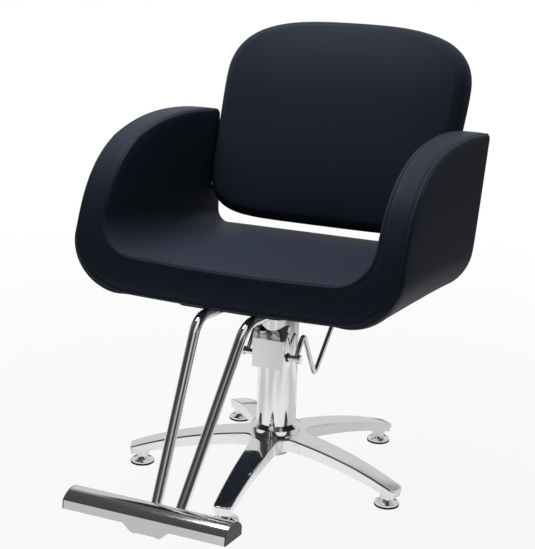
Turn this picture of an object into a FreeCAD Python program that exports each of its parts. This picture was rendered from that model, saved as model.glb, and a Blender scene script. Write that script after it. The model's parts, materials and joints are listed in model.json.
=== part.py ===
import FreeCAD, Part
import math
import os

# Salon styling chair on a hydraulic column.
# Origin: the floor point under the column axis.  +Z up, +Y to the chair's back, +X to the sitter's left.
# All sizes are millimetres.  The chair stands at its lowest height.

# ---- clearances ----
SEAT_GAP = 0.3          # between a soft part and what carries it, and between stops
RUNNING_GAP = 0.05      # radial clearance of a turning or sliding fit

# ---- star base ----
LEG_COUNT = 5
FIRST_LEG_ANGLE = 58.3  # degrees from +X
GLIDE_CIRCLE_R = 260.0
LEG_REACH = 283.0
LEG_HALF_ROOT = 27.0
LEG_HALF_MIDDLE = 22.0
LEG_HALF_TIP = 17.5
LEG_TIP_ROUND = 8.0
LEG_WEB_INSET = 2.2     # the side walls sit back under the top cap by this much
LEG_CAP = 8.0           # height of the cap's edge
LEG_WALL = 4.5
LEG_VALLEY_R = 20.0     # rounding between neighbouring legs
HUB_CORE_R = 40.0
HUB_BOTTOM_Z = 54.0
HUB_RIM_R = 48.0
HUB_RIM_Z = 91.0
HUB_RIM_HEIGHT = 9.0
HUB_CONE_TOP_Z = 98.0
POCKET_START_R = 78.0
BOSS_R = 13.0
BOSS_BOTTOM_Z = 15.0

# ---- glides ----
GLIDE_R = 23.0
GLIDE_PAD_H = 3.5
GLIDE_RIM_Z = 6.0
GLIDE_NECK_R = 9.0
GLIDE_NECK_Z = 10.0
GLIDE_HEX_FLATS = 15.0
STUD_R = 4.0
STUD_TOP_Z = 31.0
LEVEL_TRAVEL = 8.0

# ---- column ----
SLEEVE_R = 38.15
SLEEVE_WALL = 2.0
SLEEVE_BOTTOM_Z = 88.0
SLEEVE_TOP_Z = 314.0
CAP_H = 4.0
CYLINDER_R = 22.0
CYLINDER_BORE_R = 16.5
THREAD_R = 20.0
SHOULDER_Z = 60.0
NUT_R = 25.0
NUT_BOTTOM_Z = 32.0
PLUG_H = 11.0
BLOCK_BOTTOM_Z = 190.0
BLOCK_TOP_Z = 218.0
BUSH_H = 12.0
SEAL_H = 5.0
PISTON_H = 14.0
RAM_R = 14.0
COLLAR_R = 24.0
COLLAR_H = 4.0
WASHER_H = 4.0
LIFT = 130.0

# ---- lever housing and pedal ----
HOUSING_HALF = 33.0
HOUSING_FRONT_Y = -50.0
HOUSING_BOTTOM_Z = 218.0
HOUSING_FRONT_TOP_Z = 275.0
HOUSING_TOP_Y = -31.0
HOUSING_TOP_Z = 299.0
HOUSING_WALL = 2.5
HOUSING_CORNER_R = 3.0
PIN_Y = -31.0
PIN_Z = 240.0
PIN_R = 5.5
PIN_HALF = 60.0
PIN_COLLAR_R = 8.5
PIN_COLLAR_W = 5.0
BUSH_WALL = 1.5
BUSH_FLANGE = 1.5
CAM_X = 21.0
CAM_WIDTH = 8.0
CAM_ARM = 11.0
CAM_NOSE_R = 7.0
CAM_HUB_R = 8.5
PEDAL_TRAVEL = 22.0     # degrees
PLUNGER_R = 3.5
PLUNGER_CAP_R = 4.0
PLUNGER_CAP_H = 3.0
PLUNGER_DEPTH = 22.0
SPRING_WIRE = 1.1
SPRING_R = 4.6
SPRING_TURNS = 4
WIRE_R = 4.75
WIRE_X = 50.0
WIRE_PEAK = (2.0, 279.5)
WIRE_VALLEY = (66.0, 179.0)
WIRE_END = (190.0, 286.0)
WIRE_BEND_R = 9.0
WIRE_CORNER_R = 22.0

# ---- seat frame of reference: its front upper edge, and the way it leans back ----
SEAT_FRONT_Y = -233.0
SEAT_FRONT_Z = 456.0
SEAT_TILT = 5.0

# ---- upholstered tub (x, u along the seat, w square to it) ----
TUB_HALF = 320.0        # across the outside at the arms' top
ARM_THICK = 61.0
OUTER_SPLAY = 16.0      # the arms lean outwards: how much narrower the tub is at the seat, outside
INNER_SPLAY = 12.0      # and between the arms
TUB_LENGTH = 473.0
TUB_BOTTOM_W = -76.0
SEAT_TOP_W = -2.0
OUTER_CORNER_R = 85.0
INNER_CORNER_R = 45.0
ARM_TOP_W = 235.0
ARM_PAD_WIDTH = 148.0   # how far an arm's pad reaches in under the sitter
FRONT_SPARE = 20.0      # blanks start this far ahead of the seat, then are cut to the front curve
FRONT_LEAN = 3.0
FRONT_SLOPE = (10.4, 76.2)
ARM_SHOULDER = (44.9, 254.9)
TUB_EDGE_R = 7.0
BOARD_THICK = 18.0
BOARD_SIDE_COVER = 4.0  # from the board's side to where the tub's lower corner starts
BOARD_MARGIN = 25.0
PANEL_THICK = 15.0
PANEL_MARGIN = 34.0
PANEL_COVER = 17.0      # padding between the arm's inner face and its panel, at the top
PANEL_BOTTOM_W = -6.0
BRACKET_THICK = 5.0
BRACKET_WIDTH = 40.0
BRACKET_BEND_R = 40.0
BRACKET_TOP_W = 70.0
BRACKET_FOOT = 55.0     # length lying on the board, inside the board's side
BRACKET_FRONT_U = 90.0
BRACKET_BACK_MARGIN = 103.0

# ---- backrest (x, n through it, s up it) ----
RECLINE = 22.0
BACK_SET_IN = 8.0       # its middle stands this far ahead of the tub's back
BACK_RISE = 194.0       # and this far above the seat's front edge
BACK_SIDE_GAP = 8.0     # room between its side and the arm's top
BACK_TOP_S = 212.0
BACK_BOTTOM_S = -206.0
BACK_UPPER_S = 60.0
BACK_LOWER_S = 10.0
BACK_UPPER_POWER = 3.0
BACK_LOWER_POWER = 6.0
BACK_THICK = 60.0
BACK_EDGE_R = 12.0
BACK_BOARD_INSET = 26.0
BACK_BOARD_THICK = 16.0
BACK_BOARD_N = 32.0
BACK_BOLT_R = 4.0
BACK_BOLT_HEAD_R = 8.0
BACK_BOLT_HEAD_H = 5.0
BACK_BOLT_PLACES = (-75.0, -150.0)
BACK_BOLT_GRIP = 28.0
SPACER_R = 9.0

# ---- seat mounting ----
PLATE_THICK = 4.0
PLATE_HALF = 100.0
PLATE_FRONT_U = 15.0
PLATE_BACK_MARGIN = 73.0
FLANGE_R = 58.0
FLANGE_THICK = 6.0
FLANGE_BOLT_CIRCLE_R = 46.0
SOCKET_R = 31.0
SOCKET_DEPTH = 18.5
BOLT_R = 4.0
BOLT_HEAD_R = 6.5
BOLT_HEAD_H = 5.0

# ---- footrest (x, u, w) ----
TUBE_R = 9.55
TUBE_WALL = 1.6
TUBE_TOP_X = 45.6
TUBE_BOTTOM_X = 21.7
TUBE_BACK_U = 165.0
TUBE_TOP_CORNER_U = -11.2
TUBE_LOW_CORNER_U = -181.5
TUBE_END_U = -248.0
TUBE_TOP_BEND_R = 52.0
TUBE_LOW_BEND_R = 34.0
BAR_HALF = 145.0
BAR_FRONT_U = -263.0
BAR_DEPTH = 59.0
BAR_BOTTOM_W = -377.5
BAR_SIDE_H = 14.5
BAR_HEIGHT = 29.0
BAR_WALL = 2.0
END_CAP_THICK = 2.0
SADDLE_SHEET = 1.5
SADDLE_FRONT_U = -250.5
SADDLE_BACK_U = -206.0
SADDLE_TOP_HALF = 49.0
SADDLE_LOW_HALF = 27.5
SADDLE_DROP = 18.0
CLAMP_THICK = 3.0
CLAMP_HALF = 29.0
CLAMP_FRONT_U = 116.0
CLAMP_BACK_U = 160.0
CLAMP_BOLT_X = 20.5
CLAMP_BOLT_INSET = 12.0

# ---- worked out ----
SLEEVE_BORE_R = SLEEVE_R - SLEEVE_WALL
PIN_BORE_R = PIN_R + RUNNING_GAP
RAM_BORE_R = RAM_R + RUNNING_GAP
COLUMN_TOP_Z = SLEEVE_TOP_Z + CAP_H
COLLAR_BOTTOM_Z = COLUMN_TOP_Z + COLLAR_H
WASHER_BOTTOM_Z = COLLAR_BOTTOM_Z + COLLAR_H
SOCKET_BOTTOM_Z = WASHER_BOTTOM_Z + WASHER_H
PLUG_TOP_Z = NUT_BOTTOM_Z + PLUG_H
PISTON_BOTTOM_Z = PLUG_TOP_Z + SEAT_GAP
PISTON_TOP_Z = PISTON_BOTTOM_Z + PISTON_H
ARM_INNER_X = TUB_HALF - ARM_THICK
CUSHION_HALF = TUB_HALF - ARM_PAD_WIDTH
BOARD_HALF = TUB_HALF - OUTER_SPLAY - OUTER_CORNER_R - BOARD_SIDE_COVER
BRACKET_PLACES = (BRACKET_FRONT_U, TUB_LENGTH - BRACKET_BACK_MARGIN - BRACKET_WIDTH)
BACK_Y = SEAT_FRONT_Y + TUB_LENGTH - BACK_SET_IN
BACK_Z = SEAT_FRONT_Z + BACK_RISE
BACK_HALF = ARM_INNER_X - BACK_SIDE_GAP
PLATE_BACK_U = TUB_LENGTH - PLATE_BACK_MARGIN
PANEL_INNER_X = ARM_INNER_X + PANEL_COVER
PANEL_OUTER_X = PANEL_INNER_X + PANEL_THICK
PLATE_BOTTOM_W = TUB_BOTTOM_W - PLATE_THICK
TUBE_TOP_W = PLATE_BOTTOM_W - TUBE_R
TUBE_LOW_W = BAR_BOTTOM_W - SADDLE_SHEET - TUBE_R
STUD_BORE_TOP_Z = STUD_TOP_Z + 1.0


def vec(x, y, z):
    return FreeCAD.Vector(x, y, z)


X_AXIS = vec(1, 0, 0)
Y_AXIS = vec(0, 1, 0)
Z_AXIS = vec(0, 0, 1)
ORIGIN = vec(0, 0, 0)


# ---- small helpers ----

def post(radius, low, high, x=0.0, y=0.0):
    """An upright cylinder from one height to another."""
    return Part.makeCylinder(radius, high - low, vec(x, y, low), Z_AXIS)


def ring(outer, inner, low, high, x=0.0, y=0.0):
    return post(outer, low, high, x, y).cut(post(inner, low - 1, high + 1, x, y))


def bar_x(radius, low, high, y, z):
    """A cylinder along X."""
    return Part.makeCylinder(radius, high - low, vec(low, y, z), X_AXIS)


def block(low, high):
    size = [b - a for a, b in zip(low, high)]
    return Part.makeBox(size[0], size[1], size[2], vec(low[0], low[1], low[2]))


def lines(points):
    """Straight edges through points, in order."""
    return [Part.LineSegment(a, b).toShape() for a, b in zip(points, points[1:])]


def arc(a, b, c):
    return Part.Arc(a, b, c).toShape()


def curve(points):
    bezier = Part.BezierCurve()
    bezier.setPoles(points)
    return bezier.toShape()


def face(edges):
    return Part.Face(Part.Wire(Part.__sortEdges__(edges)))


def revolved(points):
    """A solid turned about Z from (radius, height) corners."""
    corners = [vec(r, 0, z) for r, z in points]
    return face(lines(corners + corners[:1])).revolve(ORIGIN, Z_AXIS, 360)


def hexagon(flats, low, high, x=0.0, y=0.0):
    radius = flats / math.sqrt(3)
    corners = [
        vec(x + radius * math.cos(math.radians(60 * k)), y + radius * math.sin(math.radians(60 * k)), low)
        for k in range(6)
    ]
    return face(lines(corners + corners[:1])).extrude(vec(0, 0, high - low))


def mirrored(shape):
    """The same piece on the sitter's right."""
    return shape.mirror(ORIGIN, X_AXIS)


def joined(shapes):
    """Solids that touch, fused into one."""
    whole = shapes[0]
    for shape in shapes[1:]:
        whole = whole.fuse(shape)
    return whole.removeSplitter()


def without(shape, tools):
    for tool in tools:
        shape = shape.cut(tool)
    return shape


def path(corners, radii):
    """Straight runs joined by tangent arcs, one radius for each inner corner."""
    edges = []
    start = corners[0]
    for before, corner, after, radius in zip(corners, corners[1:], corners[2:], radii):
        back = (before - corner).normalize()
        ahead = (after - corner).normalize()
        half = back.getAngle(ahead) / 2
        reach = radius / math.tan(half)
        middle = (back + ahead).normalize()
        entry = corner + back * reach
        leave = corner + ahead * reach
        top = corner + middle * (radius / math.sin(half) - radius)
        edges.append(Part.LineSegment(start, entry).toShape())
        edges.append(arc(entry, top, leave))
        start = leave
    edges.append(Part.LineSegment(start, corners[-1]).toShape())
    return Part.Wire(edges)


def swept(corners, radii, radius):
    """A round rod along a path."""
    spine = path(corners, radii)
    heading = (corners[1] - corners[0]).normalize()
    section = Part.Wire(Part.makeCircle(radius, corners[0], heading))
    return spine.makePipeShell([section], True, True)


def edges_where(shape, test):
    return [edge for edge in shape.Edges if test(edge)]


def rounded(shape, radius, test):
    return shape.makeFillet(radius, edges_where(shape, test))


# ---- frames of reference ----

def from_seat(shape):
    """Places a piece drawn as (x, u, w) on the tilted seat."""
    placed = shape.copy()
    placed.rotate(ORIGIN, X_AXIS, -SEAT_TILT)
    placed.translate(vec(0, SEAT_FRONT_Y, SEAT_FRONT_Z))
    return placed


def from_back(shape):
    """Places a piece drawn as (x, n, s) on the reclined backrest."""
    placed = shape.copy()
    placed.rotate(ORIGIN, X_AXIS, -RECLINE)
    placed.translate(vec(0, BACK_Y, BACK_Z))
    return placed


def seat_u_at_axis(w):
    """Where the column axis crosses a plane of the seat."""
    tilt = math.radians(SEAT_TILT)
    return (-SEAT_FRONT_Y - w * math.sin(tilt)) / math.cos(tilt)


# ---- star base ----

def leg_top(r):
    """Height of a leg's top at a distance from the axis: nearly level at the hub, falling to the tip."""
    share = (r - HUB_CORE_R) / (LEG_REACH - HUB_CORE_R)
    return 80.0 - 14.0 * share - 30.0 * share ** 2.4


def leg_bottom(r):
    share = (r - HUB_CORE_R) / (LEG_REACH - HUB_CORE_R)
    return 55.0 - 6.0 * share - 30.0 * share ** 2.2


def profile_curve(height, start, stop, count, lift=0.0):
    points = []
    for k in range(count):
        r = start + (stop - start) * k / (count - 1)
        points.append(vec(r, 0, height(r) + lift))
    spline = Part.BSplineCurve()
    spline.interpolate(points)
    return spline.toShape(), points[0], points[-1]


def turned_between(upper, upper_lift, lower, lower_lift, reach):
    """The solid swept round the axis between two leg curves."""
    top, top_in, top_out = profile_curve(upper, HUB_CORE_R, reach, 9, upper_lift)
    low, low_in, low_out = profile_curve(lower, HUB_CORE_R, reach, 9, lower_lift)
    axis_top = vec(0, 0, top_in.z)
    axis_low = vec(0, 0, low_in.z)
    edges = [top, low] + lines([top_out, low_out]) + lines([low_in, axis_low, axis_top, top_in])
    return face(edges).revolve(ORIGIN, Z_AXIS, 360)


def star_plan(inset, low, high, valley):
    """The upright prism of the star's outline, set in by an amount, with rounded valleys between its legs."""
    root = LEG_HALF_ROOT - inset
    middle = LEG_HALF_MIDDLE - inset
    tip = LEG_HALF_TIP - inset
    reach = LEG_REACH - inset
    mid_r = (HUB_CORE_R + reach) / 2
    edges = [
        arc(vec(HUB_CORE_R, -root, low), vec(mid_r, -middle, low), vec(reach, -tip, low)),
        arc(vec(HUB_CORE_R, root, low), vec(mid_r, middle, low), vec(reach, tip, low)),
    ]
    edges += lines([vec(reach, -tip, low), vec(reach, tip, low)])
    edges += lines([vec(HUB_CORE_R, root, low), vec(0, root, low), vec(0, -root, low),
                    vec(HUB_CORE_R, -root, low)])
    leg = face(edges).extrude(vec(0, 0, high - low))
    leg = rounded(leg, LEG_TIP_ROUND - inset,
                  lambda e: is_upright(e) and abs(e.Vertexes[0].X - reach) < 0.01)
    legs = [turned(leg, k) for k in range(LEG_COUNT)]
    star = joined(legs + [post(HUB_CORE_R, low, high)])
    if valley > 0:
        star = rounded(star, valley, lambda e: is_upright(e) and radius_of(e) < HUB_RIM_R + 10)
    return star


def is_upright(edge):
    a, b = edge.Vertexes[0].Point, edge.Vertexes[-1].Point
    return abs(a.x - b.x) < 0.01 and abs(a.y - b.y) < 0.01 and abs(a.z - b.z) > 1.0


def radius_of(edge):
    point = edge.Vertexes[0].Point
    return math.hypot(point.x, point.y)


def leg_angle(k):
    return FIRST_LEG_ANGLE + 360.0 / LEG_COUNT * k


def turned(shape, k):
    """A piece drawn on the +X leg, turned to leg k."""
    placed = shape.copy()
    placed.rotate(ORIGIN, Z_AXIS, leg_angle(k))
    return placed


def base_star():
    low, high = 0.0, 120.0
    plan = star_plan(0.0, low, high, LEG_VALLEY_R)
    inset_plan = star_plan(LEG_WEB_INSET, low, high, LEG_VALLEY_R)
    cap = turned_between(leg_top, 0.0, leg_top, -LEG_CAP, LEG_REACH + 5).common(plan)
    cap = rounded(cap, 2.5, lambda e: is_cap_rim(e))
    web_body = turned_between(leg_top, -LEG_CAP, leg_bottom, 0.0, LEG_REACH + 5)
    web = web_body.common(inset_plan)
    root = web_body.common(plan).common(post(POCKET_START_R, low, high))
    hollow_plan = star_plan(LEG_WALL + LEG_WEB_INSET, low, high, 0.0)
    hollow = turned_between(leg_top, -LEG_CAP - 1.0, leg_bottom, -20.0, LEG_REACH - 5)
    hollow = hollow.common(hollow_plan).cut(post(HUB_RIM_R + 10, low, high))
    bosses = [turned(post(BOSS_R, BOSS_BOTTOM_Z, leg_top(GLIDE_CIRCLE_R) - LEG_CAP, GLIDE_CIRCLE_R), k)
              for k in range(LEG_COUNT)]
    star = joined([cap, web, root, hub_collar()]).cut(hollow)
    star = joined([star] + bosses)
    drills = [turned(post(STUD_R + RUNNING_GAP, 0, STUD_BORE_TOP_Z, GLIDE_CIRCLE_R), k)
              for k in range(LEG_COUNT)]
    drills.append(post(THREAD_R + RUNNING_GAP, 0, SHOULDER_Z + 1))
    drills.append(post(CYLINDER_R + RUNNING_GAP, SHOULDER_Z, high))
    drills.append(post(SLEEVE_R + RUNNING_GAP, SLEEVE_BOTTOM_Z, high))
    return without(star, drills)


def is_cap_rim(edge):
    """The long outer edge along the top of the cap."""
    a, b = edge.Vertexes[0].Point, edge.Vertexes[-1].Point
    if is_upright(edge) or edge.Length < 2.0:
        return False
    middle = edge.valueAt((edge.FirstParameter + edge.LastParameter) / 2)
    r = math.hypot(middle.x, middle.y)
    return r > HUB_CORE_R + 2 and abs(middle.z - leg_top(r)) < 0.5


def hub_collar():
    """The raised rim round the foot of the column sleeve, with a conical top."""
    return revolved([
        (0, HUB_BOTTOM_Z),
        (HUB_CORE_R - 6, HUB_BOTTOM_Z),
        (HUB_CORE_R + 2, HUB_BOTTOM_Z + 8),
        (HUB_CORE_R + 4, HUB_RIM_Z - HUB_RIM_HEIGHT - 4),
        (HUB_RIM_R, HUB_RIM_Z - HUB_RIM_HEIGHT),
        (HUB_RIM_R, HUB_RIM_Z),
        (SLEEVE_R, HUB_CONE_TOP_Z),
        (0, HUB_CONE_TOP_Z),
    ])


# ---- glides ----

def glide_pad(k):
    return turned(post(GLIDE_R, 0, GLIDE_PAD_H, GLIDE_CIRCLE_R), k)


def glide_foot(k):
    """Dished disc on a stud, with a hexagon under the leg to turn it by."""
    disc = revolved([
        (0, GLIDE_PAD_H),
        (GLIDE_R - 0.5, GLIDE_PAD_H),
        (GLIDE_R - 0.5, GLIDE_RIM_Z),
        (GLIDE_R - 2.5, GLIDE_RIM_Z),
        (GLIDE_R - 5, GLIDE_RIM_Z - 1.2),
        (GLIDE_NECK_R, GLIDE_NECK_Z),
        (0, GLIDE_NECK_Z),
    ])
    turner = hexagon(GLIDE_HEX_FLATS, GLIDE_NECK_Z - 1, BOSS_BOTTOM_Z - SEAT_GAP)
    foot = joined([disc, turner, post(STUD_R, GLIDE_NECK_Z - 1, STUD_TOP_Z)])
    foot.translate(vec(GLIDE_CIRCLE_R, 0, 0))
    return turned(foot, k)


# ---- hydraulic column ----

def base_nut():
    body = ring(NUT_R, THREAD_R, NUT_BOTTOM_Z, HUB_BOTTOM_Z)
    return rounded(body, 3.0, lambda e: abs(e.BoundBox.ZMax - NUT_BOTTOM_Z) < 0.01 and radius_of(e) > THREAD_R + 1)


def pump_cylinder():
    outside = joined([post(THREAD_R, NUT_BOTTOM_Z, SHOULDER_Z + 1),
                      post(CYLINDER_R, SHOULDER_Z, BLOCK_BOTTOM_Z + SEAL_H)])
    return outside.cut(post(CYLINDER_BORE_R, NUT_BOTTOM_Z - 1, BLOCK_TOP_Z))


def foot_plug():
    return post(CYLINDER_BORE_R, NUT_BOTTOM_Z, PLUG_TOP_Z)


def pump_block():
    """Fills the sleeve above the cylinder, guides the ram and holds the small plunger."""
    body = post(SLEEVE_BORE_R - SEAT_GAP, BLOCK_BOTTOM_Z, BLOCK_TOP_Z)
    return without(body, [
        post(CYLINDER_R, BLOCK_BOTTOM_Z - 1, BLOCK_BOTTOM_Z + SEAL_H),
        post(CYLINDER_BORE_R, BLOCK_BOTTOM_Z, BLOCK_TOP_Z + 1),
        post(PLUNGER_R + RUNNING_GAP, BLOCK_TOP_Z - PLUNGER_DEPTH, BLOCK_TOP_Z + 1, CAM_X, plunger_y()),
    ])


def guide_bush():
    return ring(CYLINDER_BORE_R, RAM_BORE_R, BLOCK_TOP_Z - BUSH_H, BLOCK_TOP_Z)


def rod_seal():
    top = BLOCK_TOP_Z - BUSH_H
    return ring(CYLINDER_BORE_R, RAM_BORE_R, top - SEAL_H, top)


def column_sleeve():
    window = block((-HOUSING_HALF + 4, -SLEEVE_R - 1, PIN_Z - 18),
                   (HOUSING_HALF - 4, PIN_Y + CAM_HUB_R + 4, PIN_Z + 18))
    return ring(SLEEVE_R, SLEEVE_BORE_R, SLEEVE_BOTTOM_Z, SLEEVE_TOP_Z).cut(window)


def sleeve_cap():
    body = joined([post(SLEEVE_R, SLEEVE_TOP_Z, COLUMN_TOP_Z),
                   post(SLEEVE_BORE_R - RUNNING_GAP, SLEEVE_TOP_Z - 10, SLEEVE_TOP_Z + 1)])
    body = body.cut(post(RAM_BORE_R, 0, COLUMN_TOP_Z + 1))
    return rounded(body, 1.2, lambda e: abs(e.BoundBox.ZMin - COLUMN_TOP_Z) < 0.01 and radius_of(e) > RAM_R + 5)


# ---- ram ----

def ram_rod():
    spindle_top = SOCKET_BOTTOM_Z + 18.0
    return post(RAM_R, PISTON_TOP_Z, spindle_top)


def piston():
    groove = ring(CYLINDER_BORE_R + 1, CYLINDER_BORE_R - 3, PISTON_BOTTOM_Z + 5, PISTON_BOTTOM_Z + 9)
    return post(CYLINDER_BORE_R - RUNNING_GAP, PISTON_BOTTOM_Z, PISTON_TOP_Z).cut(groove)


def piston_seal():
    return ring(CYLINDER_BORE_R - RUNNING_GAP, CYLINDER_BORE_R - 3, PISTON_BOTTOM_Z + 5, PISTON_BOTTOM_Z + 9)


def ram_collar():
    return ring(COLLAR_R, RAM_R, COLLAR_BOTTOM_Z, WASHER_BOTTOM_Z)


def thrust_washer():
    return ring(COLLAR_R, RAM_R, WASHER_BOTTOM_Z, SOCKET_BOTTOM_Z - SEAT_GAP)


# ---- lever housing ----

def housing_outline(inset, low_extra=0.0):
    """The wedge of the housing seen from the side, set in from its walls."""
    front = HOUSING_FRONT_Y + inset
    top = HOUSING_TOP_Z - inset
    slope = math.atan2(HOUSING_TOP_Z - HOUSING_FRONT_TOP_Z, HOUSING_TOP_Y - HOUSING_FRONT_Y)
    front_top = HOUSING_FRONT_TOP_Z + inset * math.tan(slope) - inset / math.cos(slope)
    top_y = HOUSING_TOP_Y - inset / math.tan(slope) + inset / math.sin(slope)
    return [
        (front, HOUSING_BOTTOM_Z + inset - low_extra),
        (front, front_top),
        (top_y, top),
        (0.0, top),
        (0.0, HOUSING_BOTTOM_Z + inset - low_extra),
    ]


def prism_x(points, half):
    """A closed outline of (y, z) corners, extruded evenly both ways along X."""
    corners = [vec(-half, y, z) for y, z in points]
    return face(lines(corners + corners[:1])).extrude(vec(2 * half, 0, 0))


def lever_housing():
    outside = prism_x(housing_outline(0.0), HOUSING_HALF)
    outside = rounded(outside, HOUSING_CORNER_R, lambda e: is_upright(e) and e.Vertexes[0].Y < HOUSING_FRONT_Y + 1)
    inside = prism_x(housing_outline(HOUSING_WALL), HOUSING_HALF - HOUSING_WALL)
    shell = outside.cut(inside).cut(post(SLEEVE_R + RUNNING_GAP, 0, HOUSING_TOP_Z + 10))
    keep = block((-HOUSING_HALF - 1, HOUSING_FRONT_Y - 1, 0), (HOUSING_HALF + 1, 0, HOUSING_TOP_Z + 10))
    shell = shell.common(keep)
    shell = shell.cut(bar_x(PIN_BORE_R + BUSH_WALL, -HOUSING_HALF - 1, HOUSING_HALF + 1, PIN_Y, PIN_Z))
    return max(shell.Solids, key=lambda s: s.Volume)


def pedal_bushes():
    """Flanged bushes that carry the pin in the housing's cheeks."""
    inner = HOUSING_HALF - HOUSING_WALL
    sleeve = bar_x(PIN_BORE_R + BUSH_WALL, inner, HOUSING_HALF, PIN_Y, PIN_Z)
    flange = bar_x(PIN_BORE_R + 2 * BUSH_WALL, HOUSING_HALF, HOUSING_HALF + BUSH_FLANGE, PIN_Y, PIN_Z)
    bush = joined([sleeve, flange]).cut(bar_x(PIN_BORE_R, inner - 1, HOUSING_HALF + BUSH_FLANGE + 1, PIN_Y, PIN_Z))
    return Part.makeCompound([bush, mirrored(bush)])


# ---- pedal ----

def pedal_pin():
    return bar_x(PIN_R, -PIN_HALF, PIN_HALF, PIN_Y, PIN_Z)


def pin_collars():
    start = PIN_HALF - PIN_COLLAR_W
    collar = bar_x(PIN_COLLAR_R, start, PIN_HALF, PIN_Y, PIN_Z)
    collar = rounded(collar, 1.5, lambda e: e.BoundBox.XMin > PIN_HALF - 0.01)
    collar = collar.cut(bar_x(PIN_R, start - 1, PIN_HALF + 1, PIN_Y, PIN_Z))
    return Part.makeCompound([collar, mirrored(collar)])


def pedal_lever():
    """One bent rod: up from the pin, down to a low bend, up and back to the foot bar, and the same back."""
    side = [(PIN_Y, PIN_Z), WIRE_PEAK, WIRE_VALLEY, WIRE_END]
    left = [vec(WIRE_X, y, z) for y, z in side]
    right = [vec(-WIRE_X, y, z) for y, z in reversed(side)]
    radii = [WIRE_BEND_R, WIRE_BEND_R, WIRE_CORNER_R, WIRE_CORNER_R, WIRE_BEND_R, WIRE_BEND_R]
    rod = swept(left + right, radii, WIRE_R)
    return rod.cut(bar_x(PIN_R, -PIN_HALF, PIN_HALF, PIN_Y, PIN_Z))


def nose_centre():
    """Where the cam's round nose stands at rest: half of the travel above level."""
    angle = math.radians(PEDAL_TRAVEL / 2)
    return PIN_Y + CAM_ARM * math.cos(angle), PIN_Z + CAM_ARM * math.sin(angle)


def plunger_y():
    return nose_centre()[0]


def plunger_top():
    return nose_centre()[1] - CAM_NOSE_R - SEAT_GAP


def pedal_cam():
    low = CAM_X - CAM_WIDTH / 2
    high = CAM_X + CAM_WIDTH / 2
    y, z = nose_centre()
    cam = joined([bar_x(CAM_HUB_R, low, high, PIN_Y, PIN_Z), bar_x(CAM_NOSE_R, low, high, y, z)])
    return cam.cut(bar_x(PIN_R, low - 1, high + 1, PIN_Y, PIN_Z))


def plunger():
    top = plunger_top()
    stem = post(PLUNGER_R, BLOCK_TOP_Z - PLUNGER_DEPTH + LEVEL_TRAVEL, top, CAM_X, plunger_y())
    cap = post(PLUNGER_CAP_R, top - PLUNGER_CAP_H, top, CAM_X, plunger_y())
    return joined([stem, cap])


def plunger_spring():
    """A helical spring between the block and the plunger's cap."""
    low = BLOCK_TOP_Z + SPRING_WIRE / 2 + 0.05
    high = plunger_top() - PLUNGER_CAP_H - SPRING_WIRE / 2 - 0.05
    helix = Part.makeLongHelix((high - low) / SPRING_TURNS, high - low, SPRING_R)
    section = Part.Wire(Part.makeCircle(SPRING_WIRE / 2, vec(SPRING_R, 0, 0), Y_AXIS))
    coil = Part.Wire(helix.Edges).makePipeShell([section], True, True)
    coil.translate(vec(CAM_X, plunger_y(), low))
    return coil


# ---- upholstered tub ----

def front_curve(x):
    """Side outline of the tub's front and arm tops: three points of the lower band, then the arm's sweep."""
    low = vec(x, FRONT_LEAN, TUB_BOTTOM_W)
    edge = vec(x, 0, 0)
    belly = vec(x, -FRONT_SLOPE[0] / 2, -FRONT_SLOPE[1] / 2)
    slope = vec(x, FRONT_SLOPE[0], FRONT_SLOPE[1])
    shoulder = vec(x, ARM_SHOULDER[0], ARM_SHOULDER[1])
    back = vec(x, TUB_LENGTH, ARM_TOP_W)
    return [curve([low, belly, edge]), curve([edge, slope, shoulder, back])], low, back


def side_prism(low_x, high_x):
    """Everything behind the front curve and ahead of the tub's back edge."""
    edges, low, back = front_curve(low_x)
    edges += lines([back, vec(low_x, TUB_LENGTH, TUB_BOTTOM_W), low])
    return face(edges).extrude(vec(high_x - low_x, 0, 0))


def wall_outer(w):
    """How far out the arm's outer face stands at a height."""
    return TUB_HALF - OUTER_SPLAY * (ARM_TOP_W - w) / ARM_TOP_W


def wall_inner(w):
    return ARM_INNER_X - INNER_SPLAY * (ARM_TOP_W - w) / ARM_TOP_W


def arm_section():
    """The U of the tub from the seat pad's side outwards, as an upright band of (x, w)."""
    high = ARM_TOP_W + 60
    start = CUSHION_HALF + SEAT_GAP / 2
    outside = path([vec(start, 0, TUB_BOTTOM_W), vec(wall_outer(TUB_BOTTOM_W), 0, TUB_BOTTOM_W),
                    vec(wall_outer(high), 0, high)], [OUTER_CORNER_R])
    inside = path([vec(wall_inner(high), 0, high), vec(wall_inner(SEAT_TOP_W), 0, SEAT_TOP_W),
                   vec(start, 0, SEAT_TOP_W)], [INNER_CORNER_R])
    edges = outside.Edges + inside.Edges
    edges += lines([vec(wall_outer(high), 0, high), vec(wall_inner(high), 0, high)])
    edges += lines([vec(start, 0, SEAT_TOP_W), vec(start, 0, TUB_BOTTOM_W)])
    return face(edges).extrude(vec(0, TUB_LENGTH, 0))


def arm_block():
    wide = arm_section()
    wide.translate(vec(0, -FRONT_SPARE, 0))
    long_section = joined([wide, arm_section()])
    return long_section.common(side_prism(CUSHION_HALF, TUB_HALF + 1))


def arm_pad():
    body = rounded(arm_block(), TUB_EDGE_R, is_band_edge)
    return without(body, arm_cavities())


def is_band_edge(edge):
    """The two long seams that border the front and top of the arm."""
    middle = edge.valueAt((edge.FirstParameter + edge.LastParameter) / 2)
    if edge.Length < 20 or is_upright(edge):
        return False
    if abs(middle.x - CUSHION_HALF) < 1 or middle.y > TUB_LENGTH - 1:
        return False
    at_wall = min(abs(middle.x - wall_outer(middle.z)), abs(middle.x - wall_inner(middle.z))) < 0.1
    along_top = at_wall and middle.z > 30 and middle.y > 1
    return along_top


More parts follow.
